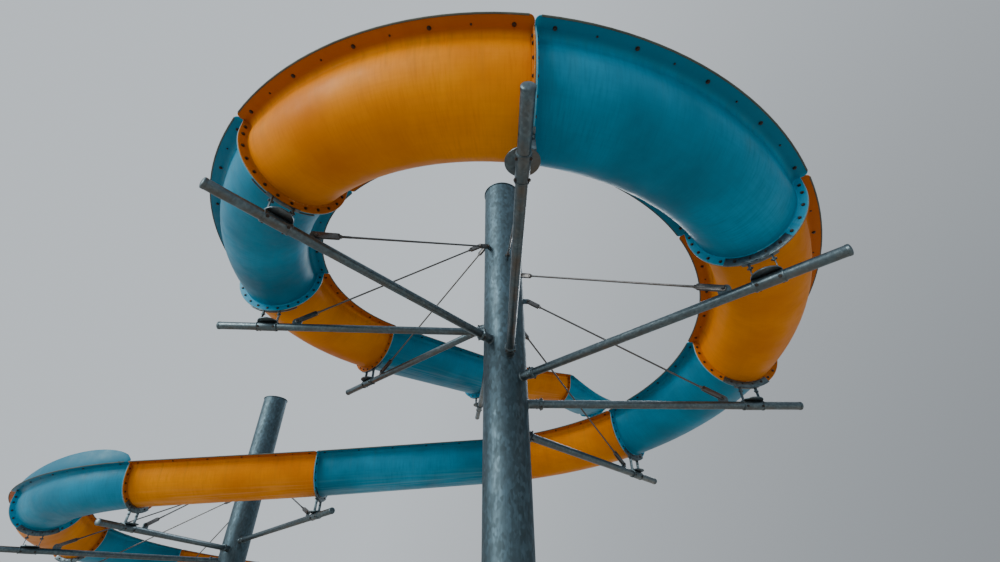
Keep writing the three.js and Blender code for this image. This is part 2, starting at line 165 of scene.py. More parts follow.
# The helpers from here on add a node to the tree of the first socket that they are given.
def maths(operation, first, *others):
    values = (first, *others)
    return add_node(first.id_data, "Math", values, operation=operation).outputs[0]


def scaled(pattern, *factors):
    for factor in factors:
        pattern = maths("MULTIPLY", pattern, factor)
    return pattern


def map_range(value, old, new):
    """Carries a value from an old range to a new one, and stops at its ends."""
    return add_node(value.id_data, "MapRange", (value, *old, *new)).outputs[0]


def split(vector, axis):
    return add_node(vector.id_data, "SeparateXYZ", [vector]).outputs[axis]


def add_noise(place, scale, detail, roughness=0.5):
    values = {"Vector": place, "Scale": scale, "Detail": detail, "Roughness": roughness}
    return add_node(place.id_data, "TexNoise", values).outputs


print("node helpers ready")

# %% Helpers for groups and whole materials
def new_group(name, inputs, output):
    """Starts a node group: its tree, what it is given, and where its result goes."""
    tree = bpy.data.node_groups.new(name, "ShaderNodeTree")
    for socket, kind in inputs.items():
        tree.interface.new_socket(socket, in_out="INPUT", socket_type="NodeSocket" + kind)
    tree.interface.new_socket(output, in_out="OUTPUT", socket_type="NodeSocketFloat")
    given = tree.nodes.new("NodeGroupInput").outputs
    return tree, given, tree.nodes.new("NodeGroupOutput").inputs[output]


def use_group(group, place, *values):
    return add_node(place.id_data, "Group", (place, *values), node_tree=group).outputs[0]


def lay_colours(ground, *layers):
    """Lays colours over a ground, each as far as its own pattern says."""
    for share, colour in layers:
        values = {0: share, 6: ground, 7: colour}
        ground = add_node(share.id_data, "Mix", values, data_type="RGBA").outputs[2]
    return ground


def add_bump(height, strength, distance, **under):
    values = {"Height": height, "Strength": strength, "Distance": distance, **under}
    return add_node(height.id_data, "Bump", values).outputs[0]


def start_material(name):
    """A material, its shader's sockets, and the object coordinates."""
    material = bpy.data.materials.new(name)
    material.use_nodes = True
    tree = material.node_tree
    shader = tree.nodes["Principled BSDF"].inputs
    return material, shader, add_node(tree, "TexCoord").outputs["Object"]


print("group and material helpers ready")

# %% Cloudy tone: soft patches, lighter and darker
def make_cloudy_tone():
    inputs = {"Place": "Vector", "Patches per metre": "Float", "Least": "Float", "Most": "Float"}
    tree, given, result = new_group("cloudy_tone", inputs, "Tone")
    cloud = add_noise(given["Place"], given["Patches per metre"], 4, 0.55)[0]
    plug(result, map_range(cloud, (0.3, 0.7), (given["Least"], given["Most"])))
    return tree


cloudy_tone = make_cloudy_tone()
print("group", cloudy_tone.name)

# %% Streaks: noise that is stretched one way
def make_streaks():
    inputs = {"Place": "Vector", "Stretch": "Vector", "Thin": "Float"}
    tree, given, result = new_group("streaks", inputs, "Streak")
    stretched = add_node(tree, "Mapping", {"Vector": given["Place"], "Scale": given["Stretch"]})
    grain = add_noise(stretched.outputs[0], 1, 3, 0.6)[0]
    plug(result, map_range(grain, (given["Thin"], 0.72), (0.0, 1.0)))
    return tree


streaks = make_streaks()
print("group", streaks.name)

# %% Edge wear: chips where a mask says that an edge is near
def make_edge_wear():
    inputs = {"Place": "Vector", "Edge": "Float", "Chips per metre": "Float"}
    tree, given, result = new_group("edge_wear", inputs, "Wear")
    grain = add_noise(given["Place"], given["Chips per metre"], 4, 0.65)[0]
    chips = map_range(grain, (0.54, 0.62), (0.0, 1.0))
    plug(result, scaled(given["Edge"], chips))
    return tree


edge_wear = make_edge_wear()
print("group", edge_wear.name)

# %% Zinc spangle: the crystals that hot zinc sets into
def make_spangle():
    inputs = {"Place": "Vector", "Crystals per metre": "Float"}
    tree, given, result = new_group("zinc_spangle", inputs, "Tone")
    warp = add_noise(given["Place"], 14, 2)["Color"]
    push = (warp, (0.03, 0.03, 0.03), given["Place"])
    pushed = add_node(tree, "VectorMath", push, operation="MULTIPLY_ADD").outputs[0]
    values = {"Vector": pushed, "Scale": given["Crystals per metre"], "Smoothness": 0.6}
    cells = add_node(tree, "TexVoronoi", values, feature="SMOOTH_F1").outputs["Color"]
    plug(result, add_node(tree, "SeparateColor", [cells]).outputs[0])
    return tree


zinc_spangle = make_spangle()
print("group", zinc_spangle.name)

# %% [markdown]
# Gelcoat is a thick coloured resin skin. It has faint lines that run round the section,
# where it was brushed into the mould, a slow wave that bends reflections, and rain marks
# that start under the lips. The lips are darkened with painted shade. The flanges carry a
# painted tone of light and shade, darker on the orange and lighter on the blue, and their
# rims a painted pale highlight. The riders' side has pale water lines.
# A pattern in space would cut straight through the curves. So these follow a UV map that
# counts metres along the channel and round it, and two masks that are kept on the mesh:
# "flange" grows from 0 on the shell to 1 at a flange's root and 2 at its rim, and
# "inside" marks the riders' side.

# %% Where the gelcoat changes, in metres round from the lowest line
RAIN_GROWS = (0.25, 0.75)
# From here outwards, the lip's darker tone is painted shade.
LIP_SHADE_GROWS = (0.745, 0.795)
WATER_LINE = (0.45, 0.10)
EDGE_STARTS = (0.880, 0.900)
EDGE_ENDS = (0.910, 0.925)
# The rim isn't a distance, but the end of the flange mask, which counts from 1 to 2.
# The pale tone at the rim is a painted highlight.
RIM_STARTS = (1.85, 2.0)


def read_mask(tree, name):
    return add_node(tree, "Attribute", attribute_name=name).outputs["Fac"]


def colour_gelcoat(place, unrolled, brushed, tint):
    """Lays the tones of the gelcoat over each other."""
    flange, inside = (read_mask(place.id_data, name) for name in ("flange", "inside"))
    reach = maths("ABSOLUTE", split(unrolled, "Y"))
    patches = use_group(cloudy_tone, place, 1.1, 0.0, 1.0)
    brushwork = use_group(cloudy_tone, place, 2.6, 0.12, 0.58)
    flow = use_group(streaks, unrolled, (1.5, 45, 1), 0.40)
    rain = use_group(streaks, unrolled, (14, 0.7, 1), 0.5)
    marked = map_range(reach, RAIN_GROWS, (0.0, 0.35))
    water = use_group(streaks, unrolled, (0.6, 26, 1), 0.42)
    wetted = map_range(reach, WATER_LINE, (0.0, 0.35))
    rim = map_range(flange, RIM_STARTS, (0.0, 0.45))
    lip_edge = map_range(reach, EDGE_STARTS, (0.0, 0.5))
    beyond = map_range(reach, EDGE_ENDS, (0.0, 0.5))
    lip_only = maths("SUBTRACT", lip_edge, beyond)
    edge = maths("MAXIMUM", lip_only, scaled(rim, 0.5))
    return lay_colours(
        tint.deep,
        (patches, tint.light),
        (scaled(brushed, brushwork), tint.deep),
        (scaled(flow, 0.16), tint.deep),
        (scaled(rain, marked), tint.marks),
        # The lips get painted shade.
        (map_range(reach, LIP_SHADE_GROWS, (0.0, 0.85)), tint.lip),
        # The flanges and the shell next to them get a painted tone of light and shade: darker
        # orange, lighter blue.
        (scaled(maths("MINIMUM", flange, 1.0), 0.75), tint.flange),
        (scaled(water, wetted, inside), tint.lime),
        # The flange rims get a painted pale highlight.
        (rim, tint.rim),
        (use_group(edge_wear, place, edge, 45), tint.lime),
    )


print("the lip's edge is chipped from", EDGE_STARTS[0], "to", EDGE_ENDS[1], "m round")

# %% Mix the two gelcoats
Tints = namedtuple("Tints", "light deep lip flange marks lime rim gloss gloss_level")


def make_gelcoat(name, tint):
    material, shader, place = start_material(name)
    unrolled = add_node(place.id_data, "UVMap", uv_map="channel").outputs[0]
    brushed = use_group(streaks, unrolled, (55, 5.0, 1), 0.45)
    worn = use_group(cloudy_tone, place, 7, 0.38, 0.54)
    wave = add_bump(add_noise(place, 5, 2)[0], 0.12, 0.02)
    lines = add_bump(brushed, 0.15, 0.0015, Normal=wave)
    peel = add_bump(add_noise(place, 260, 2)[0], 0.06, 0.001, Normal=lines)
    plug(shader["Base Color"], colour_gelcoat(place, unrolled, brushed, tint))
    plug(shader["Roughness"], worn)
    plug(shader["Normal"], peel)
    shader["Specular IOR Level"].default_value = tint.gloss_level
    shader["Specular Tint"].default_value = tint.gloss
    shader["Coat Weight"].default_value = 0.02
    shader["Coat Roughness"].default_value = 0.35
    return material


# Of these tints, lip is painted shade, flange is a painted tone of light and shade (darker
# orange, lighter blue), and rim is a painted highlight.
gelcoat = {
    "orange": make_gelcoat("orange_gelcoat", Tints(
        light=(0.78, 0.27, 0.001, 1), deep=(0.52, 0.14, 0.0, 1), lip=(0.36, 0.075, 0.002, 1),
        flange=(0.31, 0.078, 0.002, 1), marks=(0.26, 0.12, 0.03, 1), lime=(0.80, 0.52, 0.30, 1),
        rim=(0.42, 0.20, 0.06, 1), gloss=(1.0, 0.50, 0.12, 1), gloss_level=0.15,
    )),
    "blue": make_gelcoat("blue_gelcoat", Tints(
        light=(0.0, 0.262, 0.450, 1), deep=(0.0, 0.112, 0.196, 1), lip=(0.0, 0.130, 0.225, 1),
        flange=(0.0, 0.27, 0.47, 1), marks=(0.05, 0.14, 0.18, 1), lime=(0.40, 0.60, 0.66, 1),
        rim=(0.20, 0.42, 0.46, 1), gloss=(0.48, 0.87, 1.0, 1), gloss_level=0.40,
    )),
}
print("gelcoats:", ", ".join(gelcoat))

# %% [markdown]
# Hot-dip zinc sets in crystals, each with a grey and a gloss of its own, so a highlight
# on it breaks up into patches. A picture of zinc would repeat along a tube of several
# metres, so the crystals are cells of noise, which never do. On the columns the zinc ran
# down while it was still liquid, so they are stretched upright there. Weather blotches
# columns and arms, and a column most where it is low and gets splashed. Rain draws long
# faint lines. Patches of the undersides are painted brown as a reflection of the ground,
# which follows the way the surface faces.

# %% Zinc for the steel
BLOTCHED_BELOW = (3.4, 4.8)


def make_zinc(
    name, light, dark, ground_reflection, crystals, rain, roughness,
    upright=1, blotches=0.0, blotches_aloft=1.0, metal=0.9,
):
    material, shader, place = start_material(name)
    tree = place.id_data
    run_down = add_node(tree, "Mapping", {"Vector": place, "Scale": (1, 1, upright)}).outputs[0]
    spangle = use_group(zinc_spangle, run_down, crystals)
    patches = use_group(cloudy_tone, place, 3.5, 0.0, 0.6)
    mottle = use_group(cloudy_tone, run_down, 13, -blotches, blotches)
    low_part = map_range(split(place, "Z"), BLOTCHED_BELOW, (1.0, blotches_aloft))
    lines = use_group(streaks, place, (22, 22, 0.5), 0.45)
    normal = add_node(tree, "NewGeometry").outputs["Normal"]
    # Downward faces get patches of painted ground reflection, a warm brown.
    under = map_range(split(normal, "Z"), (-0.3, -0.95), (0.0, 0.8))
    reflection_patches = use_group(cloudy_tone, place, 5, -0.1, 1.1)
    colour = lay_colours(
        dark, (spangle, light), (patches, dark), (scaled(mottle, low_part), dark),
        (scaled(lines, rain), dark), (scaled(under, reflection_patches), ground_reflection),
    )
    sheen = use_group(cloudy_tone, run_down, 11, roughness - 0.04, roughness + 0.12)
    crystal_sheen = map_range(spangle, (0.0, 1.0), (0.035, -0.035))
    grain = add_bump(add_noise(place, 150, 3)[0], 0.08, 0.002)
    plug(shader["Base Color"], colour)
    plug(shader["Roughness"], maths("ADD", sheen, crystal_sheen))
    plug(shader["Normal"], grain)
    shader["Metallic"].default_value = metal
    return material


print("blotches fade from", BLOTCHED_BELOW[0], "to", BLOTCHED_BELOW[1], "m up")

# %% Mix the zincs, and a rubber that weathers and takes painted reflection like them
# The fourth colour of each is the painted ground reflection on downward faces.
column_zinc = make_zinc(
    "column_zinc", (0.112, 0.192, 0.248, 1), (0.056, 0.088, 0.106, 1), (0.10, 0.08, 0.06, 1),
    crystals=40, rain=0.6, roughness=0.49, upright=0.5, blotches=0.72, blotches_aloft=0.35,
)
arm_zinc = make_zinc(
    "arm_zinc", (0.160, 0.220, 0.252, 1), (0.076, 0.110, 0.130, 1), (0.122, 0.100, 0.080, 1),
    crystals=52, rain=0.35, roughness=0.35, blotches=0.6,
)
rod_zinc = make_zinc(
    "rod_zinc", (0.20, 0.205, 0.21, 1), (0.10, 0.10, 0.10, 1), (0.12, 0.08, 0.045, 1),
    crystals=140, rain=0.2, roughness=0.34,
)
bolt_steel = make_zinc(
    "bolt_steel", (0.10, 0.09, 0.085, 1), (0.045, 0.038, 0.034, 1), (0.07, 0.04, 0.025, 1),
    crystals=140, rain=0.0, roughness=0.5,
)
edge_rubber = make_zinc(
    "edge_rubber", (0.10, 0.12, 0.10, 1), (0.05, 0.06, 0.05, 1), (0.08, 0.09, 0.07, 1),
    crystals=8, rain=0.3, roughness=0.6, metal=0.0,
)
steel_finishes = (column_zinc, arm_zinc, rod_zinc, bolt_steel, edge_rubber)
print("finishes:", ", ".join(finish.name for finish in steel_finishes))

# %% [markdown]
# ## Shared shop tools
#
# Pieces are built as bmeshes from operators, in the frame of whatever carries them, and
# then moved into the tower's frame. Steel parts are rounds, bars and blocks with softened
# edges, because a real edge always catches a little light. Modifiers could round them
# later, but a bevel in the bmesh can be told which edges to leave sharp.

# %% Rounding edges, and making rounds, bars and blocks
def bevel(shape, edges, width, segments=2):
    bmesh.ops.bevel(
        shape, geom=edges, offset=width, segments=segments, profile=0.5, affect="EDGES",
        material=-1, clamp_overlap=True,
    )


def soften(shape, verts, width, sharper_than=50):
    """Bevels the edges between these vertices that are sharper than an angle."""
    shape.normal_update()
    near = set(verts)
    bevel(shape, [
        edge for edge in shape.edges
        if near.issuperset(edge.verts) and len(edge.link_faces) == 2
        and edge.calc_face_angle() > radians(sharper_than)
    ], width)


def add_round(shape, place, depth, low, high, sides=32, soft=0):
    """A closed cylinder or cone that stands along Z, half above its place and half below."""
    verts = bmesh.ops.create_cone(
        shape, cap_ends=True, segments=sides, radius1=low, radius2=high, depth=depth,
        matrix=place,
    )["verts"]
    if soft:
        soften(shape, verts, soft)


def bar_along_x(shape, place, radius, start, end, sides=32, soft=0.002):
    middle = place @ move((start + end) / 2) @ rotate(pi / 2, "Y")
    add_round(shape, middle, end - start, radius, radius, sides, soft)


def add_block(shape, place, size, centre, soft=0):
    matrix = place @ move(*centre) @ Matrix.Diagonal((*size, 1))
    verts = bmesh.ops.create_cube(shape, size=1, matrix=matrix)["verts"]
    if soft:
        soften(shape, verts, soft)
    return verts


print("rounds, bars and blocks: ready")

# %% Bolts
WASHER_THICKNESS = 0.0025


def bolt_head(shape, place, across=0.019, height=0.008, washer=0.0):
    """A hexagon head or nut that stands up along Z, on a washer if a radius is given."""
    foot = WASHER_THICKNESS if washer else 0
    if washer:
        add_round(shape, place @ move(z=foot / 2), foot, washer, washer, 12)
    radius = across / sqrt(3)
    add_round(shape, place @ move(z=foot + height / 2), height, radius, radius * 0.9, 6)


print("a washer is", WASHER_THICKNESS * 1000, "mm thick")

# %% Finishing a piece
CREASE = radians(32)
made_pieces = []


def make_mesh(shape, name, material):
    mesh = bpy.data.meshes.new(name)
    shape.to_mesh(mesh)
    shape.free()
    mesh.materials.append(material)
    return mesh


def add_object(name, data):
    thing = bpy.data.objects.new(name, data)
    bpy.context.scene.collection.objects.link(thing)
    return thing


def finish_piece(shape, name, material, slot, *nodes):
    """Turns a bmesh into a finished object that rides on the tower."""
    bmesh.ops.recalc_face_normals(shape, faces=shape.faces[:])
    mesh = make_mesh(shape, name, material)
    mesh.shade_smooth()
    mesh.set_sharp_from_angle(angle=CREASE)
    piece = add_object(name, mesh)
    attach(piece, "root")
    if nodes:
        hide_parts(*nodes)
    made_pieces.append(piece)
    return piece


print("edges over", round(degrees(CREASE)), "degrees stay sharp")

# %% Moving a shape, alone or into another
def carry(shape, matrix):
    bmesh.ops.transform(shape, matrix=matrix, verts=shape.verts[:])


def add_shape(whole, part, place=Matrix()):
    """Moves one bmesh into another."""
    carry(part, place)
    passing = bpy.data.meshes.new("passing")
    part.to_mesh(passing)
    part.free()
    whole.from_mesh(passing)
    bpy.data.meshes.remove(passing)


print("ready to build")

# %% [markdown]
# ## The channel
#
# A section is moulded in one go: a half round, a soft cove on each side, a flat lip, and
# a flange at each end to bolt it to its neighbour. It could be a tube cut in half, but
# the coves would be hard to add later. Instead half of the cross-section is drawn with
# spins, mirrored, and swept along the section, and the sheet gets its wall at the end.

# %% Draw the cross-section
CHANNEL_RADIUS = 0.415
WALL = 0.010
COVE_RADIUS = 0.070
LIP_TOP = 0.105
LIP_EDGE = 0.562
QUARTER_STEPS = 22
COVE_STEPS = 6


def start_line(shape, y, z, x=0):
    return bmesh.ops.create_vert(shape, co=(x, y, z))["vert"][0]


def spin_on(shape, end, centre, angle, steps):
    """Draws an arc on from a vertex, round a centre in the YZ plane."""
    turned = bmesh.ops.spin(
        shape, geom=[end], cent=centre, axis=(1, 0, 0), dvec=(0, 0, 0), angle=angle, steps=steps
    )
    return turned["geom_last"][0]


def draw_on(shape, end, y, z):
    """Draws a straight line on from a vertex."""
    vertex = bmesh.ops.extrude_vert_indiv(shape, verts=[end])["verts"][0]
    vertex.co = (0, y, z)
    return vertex


def draw_channel(shape, out=0.0, with_lip=True):
    """Draws the cross-section as a line of edges, or one that lies outside it."""
    cove = (0, CHANNEL_RADIUS + COVE_RADIUS, LIP_TOP - COVE_RADIUS)
    end = start_line(shape, 0, -CHANNEL_RADIUS - out)
    end = spin_on(shape, end, (0, 0, 0), pi / 2, QUARTER_STEPS)
    end = draw_on(shape, end, CHANNEL_RADIUS + out, cove[2])
    end = spin_on(shape, end, cove, -pi / 2, COVE_STEPS)
    if with_lip:
        draw_on(shape, end, LIP_EDGE, LIP_TOP - out)
    bmesh.ops.mirror(shape, geom=shape.verts[:] + shape.edges[:], merge_dist=0.0001, axis="Y")


trial = bmesh.new()
draw_channel(trial)
print("cross-section:", len(trial.verts), "points")
trial.free()

# %% Sweep it along a section
SEAM = 0.0004
CURVE_STEPS = 22
STRAIGHT_STEPS = 12


def sweep(shape, section, margin=SEAM, steps=None):
    """Sweeps all that is drawn in the start plane along a section, between two margins."""
    steps = steps or (CURVE_STEPS if section.turn else STRAIGHT_STEPS)
    carry(shape, walk(section, margin))
    length = section.length - 2 * margin
    share = length / section.length
    step = Vector((0, 0, -section.drop * share / steps))
    centre = Vector()
    if section.turn:
        centre.y = section.length / section.turn
    else:
        step.x = length / steps
    bmesh.ops.spin(
        shape, geom=shape.verts[:] + shape.edges[:], cent=centre, axis=(0, 0, 1), dvec=step,
        angle=section.turn * share, steps=steps,
    )


def unroll(section, point):
    """How far along a section a point lies, how far left of the middle, and how high."""
    along, left = point.x, point.y
    if section.turn:
        radius = section.length / section.turn
        side = copysign(1, radius)
        along = abs(radius) * atan2(point.x, side * (radius - point.y))
        left = radius - side * hypot(point.x, radius - point.y)
    return along, left, point.z + section.drop * along / section.length


def share_along(section, along):
    return min(max(along / section.length, 0), 1)


print("a mould turns", round(MOULD_LENGTH, 3), "m of channel")

# %% [markdown]
# The flange is a flat ring that stands out from the shell, with a rounded rim and a
# fillet at its root. A lathe would make it in one go if the section were a full circle.
# Here the outside of the cross-section is extruded in small moves, and each move pushes
# it part of the way towards the flange's edge.

# %% Plan how a flange grows
FLANGE_EDGE = 0.499
FLANGE_OVERLAP = 0.0005
# Each move says how far forward it goes, and what share of the way out.
FLANGE_MOVES = (
    (0, 0.96), (0.0008, 0.985), (0.0022, 1), (0.0100, 1), (0.0113, 0.985), (0.012, 0.96),
    (0.012, 0.20), (0.0135, 0.09), (0.018, 0.02), (0.026, 0), (0, 0),
)


def pick(items, kind):
    return [item for item in items if isinstance(item, kind)]


def flange_rim(point):
    """Where the flange's edge lies, outwards from a point of the shell."""
    if point.z <= 0:
        return point.normalized() * FLANGE_EDGE
    return Vector((0, copysign(FLANGE_EDGE, point.y), point.z))


print("a flange grows in", len(FLANGE_MOVES), "moves")

# %% Make an end flange
def make_flange(side, slope):
    """A flange that starts at x = 0 and runs forwards or backwards."""
    shape = bmesh.new()
    draw_channel(shape, out=WALL - FLANGE_OVERLAP, with_lip=False)
    root = shape.verts.layers.float_vector.new("root")
    flange = shape.verts.layers.float.new("flange")
    for vertex in shape.verts:
        vertex[root] = vertex.co
        vertex[flange] = 1.0
    edges = shape.edges[:]
    for forward, share in FLANGE_MOVES:
        grown = bmesh.ops.extrude_edge_only(shape, edges=edges)["geom"]
        edges = pick(grown, bmesh.types.BMEdge)
        for vertex in pick(grown, bmesh.types.BMVert):
            start = Vector(vertex[root])
            vertex.co = start.lerp(flange_rim(start), share)
            vertex[flange] = 1.0 + share
            vertex.co.x = side * forward
            vertex.co.z -= slope * side * forward
    shape.verts.layers.float_vector.remove(root)
    bmesh.ops.remove_doubles(shape, verts=shape.verts[:], dist=0.00001)
    bmesh.ops.holes_fill(shape, edges=shape.edges[:], sides=0)
    return shape


trial = make_flange(1, 0)
open_edges = sum(not edge.is_manifold for edge in trial.edges)
print("flange:", len(trial.faces), "faces, open edges:", open_edges)
trial.free()

# %% [markdown]
# The topmost section is the entry. Its sides fall away from the first flange until only
# a shallow tub is left, so riders can sit down in it. It is swept like the others, and
# then every point above the floor is lowered by its distance from the flange.

# %% Lower the sides of the entry
ENTRY_SHARE = 0.3


def lower_entry(section, shape):
    for vertex in shape.verts:
        along, left, up = unroll(section, vertex.co)
        if up > -CHANNEL_RADIUS:
            rise = 1 - cos(pi / 2 * share_along(section, along))
            share = ENTRY_SHARE + (1 - ENTRY_SHARE) * rise
            vertex.co.z += (up + CHANNEL_RADIUS) * (share - 1)


print("entry sides fall to", ENTRY_SHARE, "of their height")

# %% Give the channel its metres along and round
def metres_round(left, up):
    """How far round from the lowest line a point of the channel lies."""
    if up < 0:
        return CHANNEL_RADIUS * atan2(left, -up)
    outwards = max(abs(left) - CHANNEL_RADIUS, 0)
    return copysign(CHANNEL_RADIUS * pi / 2 + up + outwards, left)


def map_channel(section, shape):
    """Writes the UV map, and marks the faces that look towards the riders."""
    layer = shape.loops.layers.uv.new("channel")
    inside = shape.faces.layers.float.new("inside")
    shape.normal_update()
    for face in shape.faces:
        along, left, up = unroll(section, face.calc_center_median())
        normal = walk(section, along).to_3x3().inverted() @ face.normal
        to_riders = Vector((0, -left, -up)) if up < 0 else Vector((0, -copysign(1, left), 1))
        face[inside] = float(normal.dot(to_riders) > 0)
        for loop in face.loops:
            along, left, up = unroll(section, loop.vert.co)
            loop[layer].uv = (along, metres_round(left, up))


print("the lip's outer edge is", round(metres_round(LIP_EDGE, LIP_TOP), 3), "m round")

# %% [markdown]
# The lips have rounded corners at the joints. A boolean could cut them, but would leave
# ragged faces in the long strips. So the sheet is cut across where each corner curves,
# and the points of the lip's edge are drawn in along a quarter round.

# %% Round the corners of the lips
CORNER_LENGTH = 0.034
CORNER_DEPTH = 0.045
CORNER_CUTS = (0.004, 0.011, 0.021, 0.033, CORNER_LENGTH)
AT_EDGE = 0.002


def round_lip_corners(section, shape):
    """Cuts the sheet near both ends, and draws the lip in towards the flange there."""
    for distance in CORNER_CUTS:
        for along in (distance, section.length - distance):
            cut = walk(section, along)
            bmesh.ops.bisect_plane(
                shape, geom=shape.verts[:] + shape.edges[:] + shape.faces[:],
                plane_co=cut.translation, plane_no=cut.to_3x3() @ Vector((1, 0, 0)),
            )
    for vertex in shape.verts:
        along, left, up = unroll(section, vertex.co)
        gap = min(along, section.length - along)
        if abs(left) > LIP_EDGE - AT_EDGE and gap < CORNER_LENGTH:
            share = 1 - max(gap, 0) / CORNER_LENGTH
            inwards = CORNER_DEPTH * (1 - sqrt(1 - share ** 2))
            heading = walk(section, along).to_3x3()
            vertex.co -= heading @ Vector((0, copysign(inwards, left), 0))


print("lip corners are", CORNER_LENGTH, "m long")

# %% Give the sheet its wall, and mark it near the flanges
SHELL_MARK = 0.8


def thicken(shape, face, axis, wall):
    """Gives a sheet its wall, on the side of an axis that one of its faces decides."""
    side = copysign(1, getattr(face.normal, axis))
    bmesh.ops.solidify(shape, geom=shape.faces[:], thickness=side * wall)


def mark_near_flange(section, shape):
    """Marks the shell's points, less and less away from the flanges."""
    layer = shape.verts.layers.float.new("flange")
    for vertex in shape.verts:
        along = unroll(section, vertex.co)[0]
        gap = max(min(along, section.length - along), 0)
        vertex[layer] = SHELL_MARK * max(0, 1 - gap / CORNER_LENGTH)


print("the mark fades out", CORNER_LENGTH, "m from a flange")

# %% Build the sixteen sections
SHEET_SOFTNESS = 0.0015


def make_section(number, section):
    shape = bmesh.new()
    draw_channel(shape)
    sweep(shape, section)
    if number == 1:
        lower_entry(section, shape)
    round_lip_corners(section, shape)
    bmesh.ops.recalc_face_normals(shape, faces=shape.faces[:])
    floor = min(shape.faces, key=lambda face: face.calc_center_median().z)
    thicken(shape, floor, "z", WALL)
    soften(shape, shape.verts[:], SHEET_SOFTNESS)
    mark_near_flange(section, shape)
    slope = section.drop / section.length
    for side, distance in ((1, SEAM), (-1, section.length - SEAM)):
        flange = make_flange(side, slope)
        carry(flange, walk(section, distance))
        if number == 1:
            lower_entry(section, flange)
        add_shape(shape, flange)
    map_channel(section, shape)
    carry(shape, joints[number - 1])
    colour = section.colour
    return finish_piece(
        shape, f"channel_{number:02d}", gelcoat[colour], f"{colour}_gelcoat",
        f"flume_{number:02d}",
    )


for number, section in enumerate(route, 1):
    piece = make_section(number, section)
print("sections:", len(route), "faces in the last:", len(piece.data.polygons))

# %% [markdown]
# A rubber bead is clipped over the outer edge of each lip, so nobody cuts a hand on the
# glass fibre. A curve with a round bevel would do, but the sweep that made the channel
# is at hand: here it carries a small circle, and the ends are closed.

# %% Clip a bead on each lip
BEAD_RADIUS = 0.0075
BEAD_LEFT = 0.5572


def make_bead(number, section):
    shape = bmesh.new()
    for side in (-1, 1):
        place = move(0, side * BEAD_LEFT, LIP_TOP - WALL / 2) @ rotate(pi / 2, "Y")
        bmesh.ops.create_circle(shape, segments=10, radius=BEAD_RADIUS, matrix=place)
    sweep(shape, section, CORNER_LENGTH)
    bmesh.ops.holes_fill(shape, edges=shape.edges[:], sides=0)
    if number == 1:
        lower_entry(section, shape)
    carry(shape, joints[number - 1])
    finish_piece(shape, f"lip_bead_{number:02d}", edge_rubber, f"{section.colour}_gelcoat")


for number, section in enumerate(route, 1):
    make_bead(number, section)
print("pairs of beads:", len(route))

# %% [markdown]
# ## Bolts in the channel
#
# Neighbouring flanges are held together by a row of bolts, one every 15 degrees. Where
# the steel cradle clasps the flange, the bolts go through it as well. More bolts run
# along the middle of each lip, large and small by turns. An array modifier could repeat
# them, but it doesn't know the curves, so the route's own matrices place each bolt.

# %% Bolt the flanges together
BOLT_CIRCLE = 0.464
BOLT_STEP = radians(15)
BOLTS_PER_SIDE = 6
BOLT_WASHER = 0.015
SIDE_BOLT_LEFT = 0.466
SIDE_BOLT_UP = 0.022
CRADLE_REACH = radians(33)
CRADLE_FACE = 0.0205
FLANGE_FACE = 0.0124
SUPPORTED = range(2, 16)
FLANGE_SIDES = {0: (1,), 16: (-1,)}
# Each hexagon is turned by this many times its angle, so that no two sit alike.
HEXAGON_SPREAD = 7


def bolt_joint(number):
    shape = bmesh.new()
    sides = FLANGE_SIDES.get(number, (-1, 1))
    for step in range(-BOLTS_PER_SIDE, BOLTS_PER_SIDE):
        angle = BOLT_STEP * (step + 0.5)
        clasped = number in SUPPORTED and abs(angle) < CRADLE_REACH
        for side in sides:
            face = CRADLE_FACE if clasped and side < 0 else FLANGE_FACE
            spot = move(side * face, BOLT_CIRCLE * sin(angle), -BOLT_CIRCLE * cos(angle))
            turned = rotate(side * pi / 2, "Y") @ rotate(angle * HEXAGON_SPREAD, "Z")
            bolt_head(shape, spot @ turned, washer=BOLT_WASHER)
    for left in (-SIDE_BOLT_LEFT, SIDE_BOLT_LEFT):
        for side in sides:
            spot = move(side * FLANGE_FACE, left, SIDE_BOLT_UP)
            bolt_head(shape, spot @ rotate(side * pi / 2, "Y"), washer=BOLT_WASHER)
    if number == 0:
        lower_entry(route[0], shape)
    carry(shape, joints[number])
    finish_piece(shape, f"joint_bolts_{number:02d}", bolt_steel, "rod_steel")


for number in range(len(joints)):
    bolt_joint(number)
print("bolted joints:", len(joints))

# %% Bolt the lips
GUARD_SECTION = 13
GUARD_FOOT_LEFT = 0.536
GUARD_FOOT_TOP = 0.0045
LIP_BOLTS_LEFT = 0.493
LIP_BOLT_MARGIN = 0.115
LIP_BOLT_SPACING = 0.44
BIG_BOLT = (0.021, 0.010, 0.016)
SMALL_BOLT = (0.011, 0.005, 0.008)
TOP_BOLT_SHARE = 0.6


def bolt_lips(number, section):
    shape = bmesh.new()
    steps = 2 * round(section.length / LIP_BOLT_SPACING) - 2
    for step in range(steps + 1):
        distance = LIP_BOLT_MARGIN + (section.length - 2 * LIP_BOLT_MARGIN) * step / steps
        along = walk(section, distance)
        across, height, washer = SMALL_BOLT if step % 2 else BIG_BOLT
        for side in (-1, 1):
            under = along @ move(0, side * LIP_BOLTS_LEFT, LIP_TOP - WALL)
            bolt_head(shape, under @ rotate(pi, "X"), across, height, washer)
            top = along @ move(0, side * LIP_BOLTS_LEFT, LIP_TOP)
            if number == GUARD_SECTION and side > 0:
                top = along @ move(0, GUARD_FOOT_LEFT, LIP_TOP + GUARD_FOOT_TOP)
            bolt_head(shape, top, across, height * TOP_BOLT_SHARE, washer)
    if number == 1:
        lower_entry(section, shape)
    carry(shape, joints[number - 1])
    finish_piece(shape, f"lip_bolts_{number:02d}", bolt_steel, "rod_steel")


for number, section in enumerate(route, 1):
    bolt_lips(number, section)
print("sections with bolted lips:", len(route))

